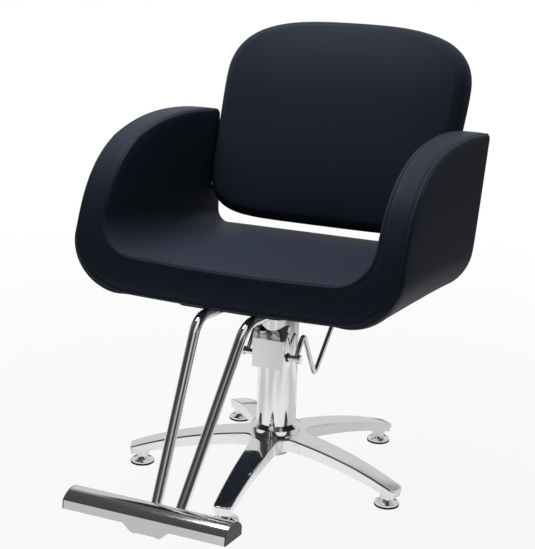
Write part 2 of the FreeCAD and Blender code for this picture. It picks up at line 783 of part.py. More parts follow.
def seat_pad():
    low = (-CUSHION_HALF + SEAT_GAP / 2, -FRONT_SPARE, TUB_BOTTOM_W)
    high = (CUSHION_HALF - SEAT_GAP / 2, TUB_LENGTH, SEAT_TOP_W)
    body = block(low, high).common(side_prism(-CUSHION_HALF, CUSHION_HALF))
    body = rounded(body, TUB_EDGE_R, lambda e: abs(e.BoundBox.ZMin - SEAT_TOP_W) < 0.01 and e.BoundBox.YMax < 20
                   and e.Length > CUSHION_HALF)
    brackets = Part.makeCompound(bracket_blanks())
    return without(body, [seat_board_blank(), brackets, mirrored(brackets)])


def arm_cavities():
    board = seat_board_blank()
    cavities = [board, arm_panel_blank(), Part.makeCompound(bracket_blanks())]
    return cavities + [to_seat(bolt) for bolt in back_bolt_solids(1)]


def to_seat(shape):
    """A piece given in the chair's own frame, taken into the seat's."""
    placed = shape.copy()
    placed.translate(vec(0, -SEAT_FRONT_Y, -SEAT_FRONT_Z))
    placed.rotate(ORIGIN, X_AXIS, SEAT_TILT)
    return placed


# ---- boards and brackets in the tub ----

def seat_board_blank():
    return block((-BOARD_HALF, BOARD_MARGIN, TUB_BOTTOM_W), (BOARD_HALF, TUB_LENGTH - BOARD_MARGIN,
                                                             TUB_BOTTOM_W + BOARD_THICK))


def seat_board():
    return without(seat_board_blank(), seat_drills())


def arm_panel_blank():
    """The plywood panel inside an arm, following its outline."""
    share = 1 - PANEL_MARGIN / ARM_TOP_W
    x = PANEL_INNER_X
    front = PANEL_MARGIN
    low = vec(x, front, PANEL_BOTTOM_W)
    start = vec(x, front, 0)
    slope = vec(x, front + FRONT_SLOPE[0], FRONT_SLOPE[1] * share)
    shoulder = vec(x, front + ARM_SHOULDER[0], ARM_SHOULDER[1] * share)
    back = vec(x, TUB_LENGTH - BOARD_MARGIN / 2, ARM_TOP_W * share)
    edges = [curve([start, slope, shoulder, back])]
    edges += lines([back, vec(x, TUB_LENGTH - BOARD_MARGIN / 2, PANEL_BOTTOM_W), low, start])
    return face(edges).extrude(vec(PANEL_THICK, 0, 0))


def arm_panel():
    bolts = [to_seat(bolt) for bolt in back_bolt_solids(1)]
    return without(arm_panel_blank(), bolts)


def bracket_blanks():
    """Bent flat bars that tie the arm panel to the seat board."""
    low_w = TUB_BOTTOM_W + BOARD_THICK
    outer_x = PANEL_INNER_X
    bend = BRACKET_BEND_R
    start_x = BOARD_HALF - BRACKET_FOOT
    thick = BRACKET_THICK
    centre_x = outer_x - bend
    centre_w = low_w + bend
    turn = math.sqrt(0.5)
    bars = []
    for u in BRACKET_PLACES:
        edges = lines([vec(start_x, u, low_w), vec(centre_x, u, low_w)])
        edges.append(arc(vec(centre_x, u, low_w), vec(centre_x + bend * turn, u, centre_w - bend * turn),
                         vec(outer_x, u, centre_w)))
        edges += lines([vec(outer_x, u, centre_w), vec(outer_x, u, BRACKET_TOP_W),
                        vec(outer_x - thick, u, BRACKET_TOP_W), vec(outer_x - thick, u, centre_w)])
        small = bend - thick
        edges.append(arc(vec(outer_x - thick, u, centre_w),
                         vec(centre_x + small * turn, u, centre_w - small * turn),
                         vec(centre_x, u, low_w + thick)))
        edges += lines([vec(centre_x, u, low_w + thick), vec(start_x, u, low_w + thick), vec(start_x, u, low_w)])
        bars.append(face(edges).extrude(vec(0, BRACKET_WIDTH, 0)))
    return bars


# ---- backrest ----

def back_outline(inset, n):
    """Broad rounded outline: a superellipse above, a squarer one below, joined by straight sides."""
    half = BACK_HALF - inset
    above = superellipse(half, BACK_TOP_S - BACK_UPPER_S - inset, BACK_UPPER_POWER, BACK_UPPER_S, n)
    below = superellipse(half, BACK_BOTTOM_S - BACK_LOWER_S + inset, BACK_LOWER_POWER, BACK_LOWER_S, n)
    edges = [spline_through(above), spline_through(below)]
    edges += lines([above[0], below[0]]) + lines([above[-1], below[-1]])
    return face(edges)


def superellipse(half, height, power, centre_s, n, count=25):
    points = []
    for k in range(count):
        angle = math.pi * k / (count - 1)
        c, s = math.cos(angle), math.sin(angle)
        x = math.copysign(abs(c) ** (2 / power), c) * half
        points.append(vec(x, n, centre_s + abs(s) ** (2 / power) * height))
    points[0] = vec(half, n, centre_s)
    points[-1] = vec(-half, n, centre_s)
    return points


def spline_through(points):
    spline = Part.BSplineCurve()
    spline.interpolate(points)
    return spline.toShape()


def backrest_blank():
    body = back_outline(0.0, 0.0).extrude(vec(0, BACK_THICK, 0))
    return rounded(body, BACK_EDGE_R, lambda e: e.BoundBox.YLength < 0.01)


def back_board_blank():
    start = BACK_BOARD_N - BACK_BOARD_THICK / 2
    return back_outline(BACK_BOARD_INSET, start).extrude(vec(0, BACK_BOARD_THICK, 0))


def back_bolt_point(s):
    """The chair-frame height and depth of a bolt that enters the backrest's side."""
    lean = math.radians(RECLINE)
    y = BACK_Y + s * math.sin(lean) + BACK_BOARD_N * math.cos(lean)
    z = BACK_Z + s * math.cos(lean) - BACK_BOARD_N * math.sin(lean)
    return y, z


def back_side(s):
    """The backrest's half width at a height."""
    if s >= BACK_LOWER_S:
        return BACK_HALF
    share = (BACK_LOWER_S - s) / (BACK_LOWER_S - BACK_BOTTOM_S)
    return BACK_HALF * (1 - share ** BACK_LOWER_POWER) ** (1 / BACK_LOWER_POWER)


def back_bolt_solids(side):
    bolts = []
    inner = BACK_HALF - BACK_BOARD_INSET - BACK_BOLT_GRIP
    for s in BACK_BOLT_PLACES:
        y, z = back_bolt_point(s)
        shank = bar_x(BACK_BOLT_R, inner, PANEL_OUTER_X + 1, y, z)
        head = bar_x(BACK_BOLT_HEAD_R, PANEL_OUTER_X, PANEL_OUTER_X + BACK_BOLT_HEAD_H, y, z)
        bolt = joined([shank, head])
        bolts.append(bolt if side > 0 else mirrored(bolt))
    return bolts


def backrest_bolts():
    return Part.makeCompound(back_bolt_solids(1) + back_bolt_solids(-1))


def backrest_spacers():
    """Bushes that hold the backrest's sides off the arms."""
    spacers = []
    for s in BACK_BOLT_PLACES:
        y, z = back_bolt_point(s)
        start = back_side(s) - SPACER_R * 0.9
        spacer = bar_x(SPACER_R, start, ARM_INNER_X, y, z)
        spacer = without(spacer, [from_back(backrest_blank()), from_seat(arm_block())])
        spacer = spacer.cut(bar_x(BACK_BOLT_R, 0, TUB_HALF, y, z))
        body = max(spacer.Solids, key=lambda piece: piece.CenterOfMass.x)
        spacers += [body, mirrored(body)]
    return Part.makeCompound(spacers)


def backrest_pad():
    tools = [from_back(back_board_blank())] + back_bolt_solids(1) + back_bolt_solids(-1)
    return without(from_back(backrest_blank()), tools)


def backrest_board():
    return without(from_back(back_board_blank()), back_bolt_solids(1) + back_bolt_solids(-1))


# ---- seat mounting ----

def flange_bolt_places():
    centre = seat_u_at_axis(PLATE_BOTTOM_W)
    places = []
    for k in range(4):
        angle = math.radians(45 + 90 * k)
        places.append((FLANGE_BOLT_CIRCLE_R * math.cos(angle), centre + FLANGE_BOLT_CIRCLE_R * math.sin(angle)))
    return places


def clamp_bolt_places():
    places = []
    for side in (1, -1):
        for x in (TUBE_TOP_X - CLAMP_BOLT_X, TUBE_TOP_X + CLAMP_BOLT_X):
            for u in (CLAMP_FRONT_U + CLAMP_BOLT_INSET, CLAMP_BACK_U - CLAMP_BOLT_INSET):
                places.append((side * x, u))
    return places


def seat_drills():
    """Holes through the steel plate and the board for every bolt from below."""
    top = TUB_BOTTOM_W + BOARD_THICK
    return [post(BOLT_R, PLATE_BOTTOM_W - 30, top - 4, x, u) for x, u in flange_bolt_places() + clamp_bolt_places()]


def seat_plate():
    body = block((-PLATE_HALF, PLATE_FRONT_U, PLATE_BOTTOM_W), (PLATE_HALF, PLATE_BACK_U, TUB_BOTTOM_W))
    body = rounded(body, 14.0, is_upright)
    return without(body, seat_drills())


def seat_socket():
    """Turned socket on the ram, with a flange that lies square to the tilted plate."""
    centre = seat_u_at_axis(PLATE_BOTTOM_W)
    flange = post(FLANGE_R, PLATE_BOTTOM_W - FLANGE_THICK, PLATE_BOTTOM_W, 0, centre)
    upright = to_seat(post(SOCKET_R, SOCKET_BOTTOM_Z, SEAT_FRONT_Z))
    reach = SEAT_FRONT_Z - SOCKET_BOTTOM_Z
    below = block((-FLANGE_R, 0, PLATE_BOTTOM_W - reach), (FLANGE_R, TUB_LENGTH, PLATE_BOTTOM_W - FLANGE_THICK / 2))
    body = joined([flange, upright.common(below)])
    drills = [post(BOLT_R, PLATE_BOTTOM_W - 30, PLATE_BOTTOM_W + 1, x, u) for x, u in flange_bolt_places()]
    drills.append(to_seat(post(RAM_BORE_R, 0, SOCKET_BOTTOM_Z + SOCKET_DEPTH)))
    return without(body, drills)


def bolt_up(x, u, head_top, reach):
    """A hexagon bolt from below, its head against a face."""
    shank = post(BOLT_R, head_top - 0.5, reach, x, u)
    head = hexagon(2 * BOLT_HEAD_R, head_top - BOLT_HEAD_H, head_top, x, u)
    return joined([shank, head])


def flange_bolts():
    reach = TUB_BOTTOM_W + BOARD_THICK - 4
    return Part.makeCompound([bolt_up(x, u, PLATE_BOTTOM_W - FLANGE_THICK, reach) for x, u in flange_bolt_places()])


def clamp_bolts():
    reach = TUB_BOTTOM_W + BOARD_THICK - 4
    return Part.makeCompound([bolt_up(x, u, PLATE_BOTTOM_W - CLAMP_THICK, reach) for x, u in clamp_bolt_places()])


# ---- footrest ----

def tube_route():
    return [
        vec(TUBE_TOP_X, TUBE_BACK_U, TUBE_TOP_W),
        vec(TUBE_TOP_X, TUBE_TOP_CORNER_U, TUBE_TOP_W),
        vec(TUBE_BOTTOM_X, TUBE_LOW_CORNER_U, TUBE_LOW_W),
        vec(TUBE_BOTTOM_X, TUBE_END_U, TUBE_LOW_W),
    ]


def footrest_tube():
    radii = [TUBE_TOP_BEND_R, TUBE_LOW_BEND_R]
    return swept(tube_route(), radii, TUBE_R).cut(swept(tube_route(), radii, TUBE_R - TUBE_WALL))


def footrest_clamp():
    """A strap bent round the tube, with two flanges bolted flat to the plate."""
    length = CLAMP_BACK_U - CLAMP_FRONT_U
    outer = TUBE_R + CLAMP_THICK
    flange = block((TUBE_TOP_X - CLAMP_HALF, CLAMP_FRONT_U, PLATE_BOTTOM_W - CLAMP_THICK),
                   (TUBE_TOP_X + CLAMP_HALF, CLAMP_BACK_U, PLATE_BOTTOM_W))
    legs = block((TUBE_TOP_X - outer, CLAMP_FRONT_U, TUBE_TOP_W), (TUBE_TOP_X + outer, CLAMP_BACK_U, PLATE_BOTTOM_W))
    bow = Part.makeCylinder(outer, length, vec(TUBE_TOP_X, CLAMP_FRONT_U, TUBE_TOP_W), Y_AXIS)
    body = joined([rounded(flange, 6.0, is_upright), legs, bow])
    room = joined([
        Part.makeCylinder(TUBE_R, length + 2, vec(TUBE_TOP_X, CLAMP_FRONT_U - 1, TUBE_TOP_W), Y_AXIS),
        block((TUBE_TOP_X - TUBE_R, CLAMP_FRONT_U - 1, TUBE_TOP_W),
              (TUBE_TOP_X + TUBE_R, CLAMP_BACK_U + 1, PLATE_BOTTOM_W + 1)),
    ])
    above = block((0, CLAMP_FRONT_U - 1, PLATE_BOTTOM_W), (2 * TUBE_TOP_X, CLAMP_BACK_U + 1, PLATE_BOTTOM_W + 20))
    drills = [post(BOLT_R, PLATE_BOTTOM_W - 20, PLATE_BOTTOM_W + 1, x, u) for x, u in clamp_bolt_places() if x > 0]
    return without(body, [room, above] + drills)


def bar_section(inset, x):
    """The D of the footrest bar: upright front and back, a domed tread and a flat base."""
    front = BAR_FRONT_U + inset
    back = BAR_FRONT_U + BAR_DEPTH - inset
    middle = BAR_FRONT_U + BAR_DEPTH / 2
    low = BAR_BOTTOM_W + inset
    side = BAR_BOTTOM_W + BAR_SIDE_H
    top = BAR_BOTTOM_W + BAR_HEIGHT - inset
    edges = [arc(vec(x, front, side), vec(x, middle, top), vec(x, back, side))]
    edges += lines([vec(x, back, side), vec(x, back, low), vec(x, front, low), vec(x, front, side)])
    return face(edges)


def footrest_bar():
    outside = bar_section(0.0, -BAR_HALF).extrude(vec(2 * BAR_HALF, 0, 0))
    inside = bar_section(BAR_WALL, -BAR_HALF - 1).extrude(vec(2 * BAR_HALF + 2, 0, 0))
    return outside.cut(inside)


def footrest_end_cap():
    """A flat cover with a plug that fits in the bar."""
    cover = bar_section(0.0, BAR_HALF).extrude(vec(END_CAP_THICK, 0, 0))
    plug = bar_section(BAR_WALL + RUNNING_GAP, BAR_HALF - 8).extrude(vec(9, 0, 0))
    hollow = bar_section(2 * BAR_WALL, BAR_HALF - 9).extrude(vec(9, 0, 0))
    return joined([cover, plug]).cut(hollow)


def footrest_saddle():
    """Sheet that joins the tubes to the bar: a web under the bar and a lip that hides the tube ends."""
    top = BAR_BOTTOM_W
    web = block((-SADDLE_TOP_HALF, SADDLE_FRONT_U, top - SADDLE_SHEET), (SADDLE_TOP_HALF, SADDLE_BACK_U, top))
    corners = [
        vec(-SADDLE_TOP_HALF, SADDLE_FRONT_U, top),
        vec(-SADDLE_LOW_HALF, SADDLE_FRONT_U, top - SADDLE_DROP),
        vec(SADDLE_LOW_HALF, SADDLE_FRONT_U, top - SADDLE_DROP),
        vec(SADDLE_TOP_HALF, SADDLE_FRONT_U, top),
    ]
    lip = face(lines(corners + corners[:1])).extrude(vec(0, SADDLE_SHEET, 0))
    return joined([web, lip])


# ---- writing ----

def build():
    arm = arm_pad()
    panel = arm_panel()
    brackets = Part.makeCompound(bracket_blanks())
    tube = footrest_tube()
    clamp = footrest_clamp()
    end_cap = footrest_end_cap()
    pieces = {
        "base_star": base_star(),
        "base_nut": base_nut(),
        "pump_cylinder": pump_cylinder(),
        "foot_plug": foot_plug(),
        "pump_block": pump_block(),
        "guide_bush": guide_bush(),
        "rod_seal": rod_seal(),
        "column_sleeve": column_sleeve(),
        "sleeve_cap": sleeve_cap(),
        "lever_housing": lever_housing(),
        "pedal_bushes": pedal_bushes(),
        "ram_rod": ram_rod(),
        "piston": piston(),
        "piston_seal": piston_seal(),
        "ram_collar": ram_collar(),
        "thrust_washer": thrust_washer(),
        "pedal_pin": pedal_pin(),
        "pin_collars": pin_collars(),
        "pedal_lever": pedal_lever(),
        "pedal_cam": pedal_cam(),
        "plunger": plunger(),
        "plunger_spring": plunger_spring(),
        "seat_pad": from_seat(seat_pad()),
        "arm_pad_left": from_seat(arm),
        "arm_pad_right": from_seat(mirrored(arm)),
        "seat_board": from_seat(seat_board()),
        "arm_panel_left": from_seat(panel),
        "arm_panel_right": from_seat(mirrored(panel)),
        "arm_brackets_left": from_seat(brackets),
        "arm_brackets_right": from_seat(mirrored(brackets)),
        "backrest_pad": backrest_pad(),
        "backrest_board": backrest_board(),
        "backrest_bolts": backrest_bolts(),
        "backrest_spacers": backrest_spacers(),
        "seat_plate": from_seat(seat_plate()),
        "seat_socket": from_seat(seat_socket()),
        "flange_bolts": from_seat(flange_bolts()),
        "clamp_bolts": from_seat(clamp_bolts()),
        "footrest_tube_left": from_seat(tube),
        "footrest_tube_right": from_seat(mirrored(tube)),
        "footrest_clamp_left": from_seat(clamp),
        "footrest_clamp_right": from_seat(mirrored(clamp)),
        "footrest_bar": from_seat(footrest_bar()),
        "footrest_cap_left": from_seat(end_cap),
        "footrest_cap_right": from_seat(mirrored(end_cap)),
        "footrest_saddle": from_seat(footrest_saddle()),
    }
    for k in range(LEG_COUNT):
        pieces["glide_pad_%d" % (k + 1)] = glide_pad(k)
        pieces["glide_foot_%d" % (k + 1)] = glide_foot(k)
    return pieces


def write(pieces):
    os.makedirs("parts", exist_ok=True)
    for name, shape in pieces.items():
        shape.exportStep("parts/%s.step" % name)
        box = shape.BoundBox
        print("%-22s solids %d valid %s volume %10.0f  x %7.1f %7.1f  y %7.1f %7.1f  z %7.1f %7.1f" % (
            name, len(shape.Solids), shape.isValid(), shape.Volume,
            box.XMin, box.XMax, box.YMin, box.YMax, box.ZMin, box.ZMax))


write(build())
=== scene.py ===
"""Salon styling chair: upholstery, stitching, metal finishes and studio over the measured frame."""
import bisect
import json
import math

import bmesh
import bpy
from bpy.props import FloatProperty, FloatVectorProperty, IntProperty, PointerProperty
from mathutils import Matrix, Vector
from mathutils.bvhtree import BVHTree


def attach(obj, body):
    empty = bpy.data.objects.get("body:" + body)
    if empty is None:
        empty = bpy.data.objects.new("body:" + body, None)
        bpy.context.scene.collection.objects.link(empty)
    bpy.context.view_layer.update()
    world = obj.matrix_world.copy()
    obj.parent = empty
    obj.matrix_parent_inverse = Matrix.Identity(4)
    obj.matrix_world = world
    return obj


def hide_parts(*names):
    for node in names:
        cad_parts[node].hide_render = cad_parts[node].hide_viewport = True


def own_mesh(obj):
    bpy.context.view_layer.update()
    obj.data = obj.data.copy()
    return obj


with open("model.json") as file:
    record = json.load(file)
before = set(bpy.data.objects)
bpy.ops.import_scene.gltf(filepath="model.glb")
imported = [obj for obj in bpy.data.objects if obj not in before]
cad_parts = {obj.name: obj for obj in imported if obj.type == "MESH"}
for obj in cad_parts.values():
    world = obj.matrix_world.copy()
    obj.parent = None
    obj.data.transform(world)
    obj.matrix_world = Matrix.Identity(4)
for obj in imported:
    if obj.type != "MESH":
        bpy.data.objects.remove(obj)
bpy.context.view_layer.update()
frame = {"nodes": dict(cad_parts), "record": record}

bl_info = {
    "name": "Salon Styling Chair",
    "version": (1, 0, 0),
    "blender": (4, 5, 0),
    "location": "View3D > Sidebar > Styling Chair",
    "description": "Builds the upholstery, stitching, finishes and studio of a salon styling chair",
    "category": "Object",
}

MM = 0.001

# The tilted seat (x, u, w) and the reclined backrest (x, n, s), both in millimetres.
SEAT_FRAME = (Matrix.Translation((0, -0.233, 0.456)) @ Matrix.Rotation(math.radians(-5.0), 4, "X")
              @ Matrix.Scale(MM, 4))
BACK_FRAME = (Matrix.Translation((0, 0.232, 0.650)) @ Matrix.Rotation(math.radians(-22.0), 4, "X")
              @ Matrix.Scale(MM, 4))

# Side outline of the tub: the lower front band, then the sweep over the arm.
BAND_CURVE = ((3.0, -76.4), (-6.6, -40.0), (0.0, -7.0))
ARM_CURVE = ((0.0, -7.0), (28.0, 121.0), (62.0, 257.0), (473.0, 237.0))
TUB_LENGTH = 473.0
TUB_BOTTOM = -76.4
SEAT_FRONT = -8.0          # height of the seat's front edge in its middle
SEAT_REAR = 2.0
SEAT_DIP = 5.0             # the front edge rises this much towards the arms
BOTTOM_DIP = 4.0
BOTTOM_WRAP = 22.0         # depth over which the cover is pulled flat under the board
FRONT_OUT = 310.5          # half widths at the front seams and at the rear edge's top
REAR_OUT = 317.0
FRONT_IN = 258.0
REAR_IN = 258.0
REAR_DROP = 5.0            # the arms' tops round down by this much over the last millimetres
REAR_ROUND = 9.0
SPLAY = 0.00018            # how much narrower the rear edge gets per millimetre down
SHOULDER_SHARE = 0.42      # where the arm's front turns into its top, as a share of the sweep
EDGE_ROWS = (0.0, 2.8, 6.0, 9.5)   # rows close beside a seam
WELT_ROW = 1
STITCH_ROW = 2
CROSS_SPACING = 7.0        # between rows across a band or a gusset
EVEN_ROUNDS = 6            # rounds of smoothing of how far the cloth has moved
STITCH_SINK = 0.6          # how deep a stitch line lies, as a share of a seam's groove
THREAD_STAND = 0.35        # how far a thread's middle stands off the cover, in radii


# ------------------------------------------------------------------ settings

class UpholsterySettings(bpy.types.PropertyGroup):
    band_crown: FloatProperty(name="Band Crown", default=0.012, min=0.0, max=0.02, unit="LENGTH",
                              description="How far the padded band stands proud of its seams")
    seat_crown: FloatProperty(name="Seat Crown", description="How far the seat swells above its edge",
                              default=0.010, min=0.0, max=0.03, unit="LENGTH")
    wall_crown: FloatProperty(name="Wall Crown", description="How far the arms' sides swell",
                              default=0.0035, min=0.0, max=0.01, unit="LENGTH")
    back_crown: FloatProperty(name="Backrest Crown", description="How far the backrest's front swells",
                              default=0.017, min=0.0, max=0.03, unit="LENGTH")
    gusset_crown: FloatProperty(name="Gusset Crown", description="How far the backrest's side strip swells",
                                default=0.002, min=0.0, max=0.01, unit="LENGTH")
    groove: FloatProperty(name="Seam Groove", description="Depth of the valley along a seam",
                          default=0.003, min=0.0, max=0.005, unit="LENGTH")
    welt: FloatProperty(name="Welt", description="How far the seam allowance lifts the cover beside a seam",
                        default=0.0011, min=0.0, max=0.003, unit="LENGTH")
    pressure: FloatProperty(name="Pressure", description="Cloth pressure that fills the covers",
                            default=4.0, min=0.0, max=20.0)
    frames: IntProperty(name="Settling Frames", description="Steps of the cloth simulation",
                        default=20, min=1, max=60)
    stitch_pitch: FloatProperty(name="Stitch Pitch", description="Distance from one stitch to the next",
                                default=0.0042, min=0.002, max=0.01, unit="LENGTH")
    stitch_length: FloatProperty(name="Stitch Length", default=0.0031, min=0.001, max=0.01, unit="LENGTH",
                                 description="Length of thread that shows in one stitch")
    thread_radius: FloatProperty(name="Thread Radius", description="Radius of the sewing thread",
                                 default=0.00042, min=0.0001, max=0.001, unit="LENGTH")
    vinyl_color: FloatVectorProperty(name="Vinyl Colour", description="Colour of the upholstery",
                                     subtype="COLOR", size=3, default=(0.041, 0.051, 0.076), min=0.0, max=1.0)


class StudioSettings(bpy.types.PropertyGroup):
    floor_color: FloatVectorProperty(name="Floor Colour", description="Colour of the floor",
                                     subtype="COLOR", size=3, default=(0.62, 0.62, 0.62), min=0.0, max=1.0)
    floor_size: FloatProperty(name="Floor Size", description="Side of the floor",
                              default=60.0, min=2.0, max=200.0, unit="LENGTH")
    floor_white: FloatProperty(name="Floor White", default=0.92, min=0.0, max=1.0,
                               description="Share of plain white in the floor near the chair")
    set_end: FloatProperty(name="Set End", description="Light that mirrors see from the dim room",
                           default=0.05, min=0.0, max=1.0)
    ambient: FloatProperty(name="Ambient", description="Strength of the light from all round",
                           default=0.045, min=0.0, max=2.0)
    lamp_power: FloatProperty(name="Lamp Power", description="Power of the large lamp above",
                              default=45.0, min=0.0, max=500.0, unit="POWER")
    top_power: FloatProperty(name="Top Box Power", default=5.0, min=0.0, max=50.0, unit="POWER",
                             description="Power of the small soft box over the backrest")
    box_power: FloatProperty(name="Box Power", description="Power of the wide soft box in front",
                             default=0.5, min=0.0, max=100.0, unit="POWER")


# ------------------------------------------------------------------ shared helpers

def bezier(points, t):
    points = [Vector(p) for p in points]
    while len(points) > 1:
        points = [a.lerp(b, t) for a, b in zip(points, points[1:])]
    return points[0]


class Outline:
    """A side outline that can be read by its length or by its height."""

    def __init__(self):
        low = [bezier(BAND_CURVE, k / 40) for k in range(40)]
        high = [bezier(ARM_CURVE, k / 240) for k in range(241)]
        for point in high:
            point.y -= REAR_DROP * max(0.0, 1.0 - (TUB_LENGTH - point.x) / REAR_ROUND) ** 2
        self.points = low + high
        self.lengths = [0.0]
        for a, b in zip(self.points, self.points[1:]):
            self.lengths.append(self.lengths[-1] + (b - a).length)
        self.total = self.lengths[-1]

    def at(self, length):
        length = min(max(length, 0.0), self.total)
        k = min(max(bisect.bisect_right(self.lengths, length) - 1, 0), len(self.points) - 2)
        share = (length - self.lengths[k]) / (self.lengths[k + 1] - self.lengths[k])
        return self.points[k].lerp(self.points[k + 1], share)

    def length_at_height(self, height):
        """The first place from below where the outline reaches that height."""
        for k in range(len(self.points) - 1):
            a, b = self.points[k].y, self.points[k + 1].y
            if a <= height <= b:
                share = (height - a) / (b - a) if b > a else 0.0
                return self.lengths[k] + share * (self.lengths[k + 1] - self.lengths[k])
        return 0.0 if height < self.points[0].y else self.total


def rows_between_seams(length, spacing):
    """Shares of a width, close together beside both seams and even between them."""
    edge = [min(r, length * 0.4) / length for r in EDGE_ROWS]
    inner_start, inner_end = edge[-1], 1.0 - edge[-1]
    count = max(2, round((inner_end - inner_start) * length / spacing))
    middle = [inner_start + (inner_end - inner_start) * k / count for k in range(1, count)]
    return edge + middle + [1.0 - e for e in reversed(edge)]


def new_object(name, data):
    obj = bpy.data.objects.new(name, data)
    bpy.context.scene.collection.objects.link(obj)
    return obj


def smooth(obj):
    for polygon in obj.data.polygons:
        polygon.use_smooth = True


def plain_mesh(obj):
    """Applies every modifier, so that one plain mesh is left."""
    graph = bpy.context.evaluated_depsgraph_get()
    mesh = bpy.data.meshes.new_from_object(obj.evaluated_get(graph), depsgraph=graph)
    mesh.name = obj.name
    old = obj.data
    obj.modifiers.clear()
    obj.vertex_groups.clear()
    obj.data = mesh
    bpy.data.meshes.remove(old)


def node_object(name):
    return frame["nodes"][name]


def paint(obj, material):
    obj.data.materials.clear()
    obj.data.materials.append(material)


# ------------------------------------------------------------------ nodes and materials

class NodeMaker:
    """Adds nodes to a tree, each with its settings and inputs."""

    def __init__(self, tree):
        self.tree = tree

    def feed(self, socket, value):
        """Sets an input, or links it where the value is another node's output."""
        if isinstance(value, bpy.types.NodeSocket):
            self.tree.links.new(value, socket)
        else:
            socket.default_value = value

    def node(self, kind, **values):
        """A new node.  An underscore stands for a space in an input's name."""
        made = self.tree.nodes.new(kind)
        for key, value in values.items():
            name = key.replace("_", " ")
            if name in made.inputs:
                self.feed(made.inputs[name], value)
            else:
                setattr(made, key, value)
        return made

    def math(self, operation, *values):
        made = self.node("ShaderNodeMath", operation=operation)
        for socket, value in zip(made.inputs, values):
            self.feed(socket, value)
        return made.outputs[0]

    def ramp(self, source, start, end, low=0.0, high=1.0, kind="SMOOTHSTEP"):
        """Maps a value from one range to another, and holds it beyond the ends."""
        made = self.node("ShaderNodeMapRange", interpolation_type=kind, Value=source,
                         From_Min=start, From_Max=end, To_Min=low, To_Max=high)
        return made.outputs["Result"]


class MaterialMaker(NodeMaker):
    """Builds one node material step by step."""

    def __init__(self, name):
        self.material = bpy.data.materials.new(name)
        self.material.use_nodes = True
        super().__init__(self.material.node_tree)
        self.shader = self.tree.nodes["Principled BSDF"]
        self.place = self.node("ShaderNodeTexCoord").outputs["Object"]

    def shade(self, **values):
        for key, value in values.items():
            self.feed(self.shader.inputs[key.replace("_", " ")], value)

    def base(self, color, roughness, metallic=0.0):
        self.shade(Base_Color=(*color, 1.0), Roughness=roughness, Metallic=metallic)

    def scaled(self, scale):
        return self.node("ShaderNodeMapping", Vector=self.place, Scale=scale).outputs["Vector"]

    def noise(self, scale, detail=3.0, roughness=0.5, place=None):
        made = self.node("ShaderNodeTexNoise", Scale=scale, Detail=detail, Roughness=roughness,
                         Vector=place or self.place)
        return made.outputs["Fac"]

    def cells(self, scale):
        made = self.node("ShaderNodeTexVoronoi", feature="DISTANCE_TO_EDGE", Scale=scale, Vector=self.place)
        return made.outputs["Distance"]

    def color(self, source, first, second):
        """Lets the colour follow a texture, from one colour to another."""
        blend = self.node("ShaderNodeMix", data_type="RGBA", Factor=source)
        blend.inputs[6].default_value = (*first, 1.0)
        blend.inputs[7].default_value = (*second, 1.0)
        self.shade(Base_Color=blend.outputs[2])

    def rough(self, source, low, high, start=0.3, end=0.7):
        """Lets the roughness follow a texture."""
        self.shade(Roughness=self.ramp(source, start, end, low, high, "LINEAR"))

    def bump(self, height, strength, distance):
        made = self.node("ShaderNodeBump", Strength=strength, Distance=distance, Height=height)
        self.shade(Normal=made.outputs["Normal"])


def toned(color, share):
    return tuple(c * share for c in color)


def vinyl_material(color):
    """Black coated fabric: a fine pebbled grain, a faint mottle and a weak bluish sheen."""
    make = MaterialMaker("black_vinyl")
    make.base(color, 0.5)
    make.color(make.noise(5.0, 2.0), toned(color, 0.93), toned(color, 1.07))
    grain = make.cells(1500.0)
    broad = make.noise(60.0, 3.0)
    fine = make.noise(900.0, 2.0)
    make.rough(make.math("ADD", broad, fine), 0.48, 0.56, 0.6, 1.4)
    height = make.math("ADD", make.math("MULTIPLY", grain, 0.7), make.math("MULTIPLY", fine, 0.3))
    make.bump(height, 0.16, 0.0002)
    make.shade(Specular_IOR_Level=0.14, Specular_Tint=(0.72, 0.82, 1.0, 1.0))
    return make.material


def thread_material():
    """Black sewing thread, with a fine twist."""
    make = MaterialMaker("black_thread")
    make.base((0.02, 0.021, 0.026), 0.6)
    twist = make.node("ShaderNodeTexWave", Scale=900.0, Distortion=1.0, Vector=make.place).outputs["Fac"]
    make.color(twist, (0.014, 0.015, 0.018), (0.035, 0.037, 0.044))
    make.bump(twist, 0.3, 0.0001)
    return make.material


def chrome_material(name, roughness, color=(0.92, 0.925, 0.93)):
    """Bright plating, with a faint polishing haze."""
    make = MaterialMaker(name)
    make.base(color, roughness, 1.0)
    haze = make.noise(14.0, 5.0, 0.6)
    make.rough(haze, roughness * 0.7, roughness * 1.6)
    make.color(haze, toned(color, 0.97), color)
    make.bump(make.noise(160.0, 2.0), 0.03, 0.0002)
    return make.material


def casting_material():
    """Polished aluminium casting: bright, with soft waves left by the polishing wheel."""
    make = MaterialMaker("polished_casting")
    color = (0.92, 0.925, 0.93)
    make.base(color, 0.08, 1.0)
    waves = make.noise(11.0, 1.0)
    make.rough(make.noise(70.0, 4.0), 0.05, 0.13)
    make.color(waves, toned(color, 0.93), color)
    make.bump(waves, 0.5, 0.012)
    return make.material


def brushed_material(name, color, roughness, direction):
    """Metal with fine lines along one direction."""
    make = MaterialMaker(name)
    make.base(color, roughness, 1.0)
    lines = make.noise(1.0, 3.0, 0.6, make.scaled(direction))
    make.rough(lines, roughness * 0.75, roughness * 1.3)
    make.color(lines, toned(color, 0.9), color)
    make.bump(lines, 0.08, 0.0001)
    return make.material


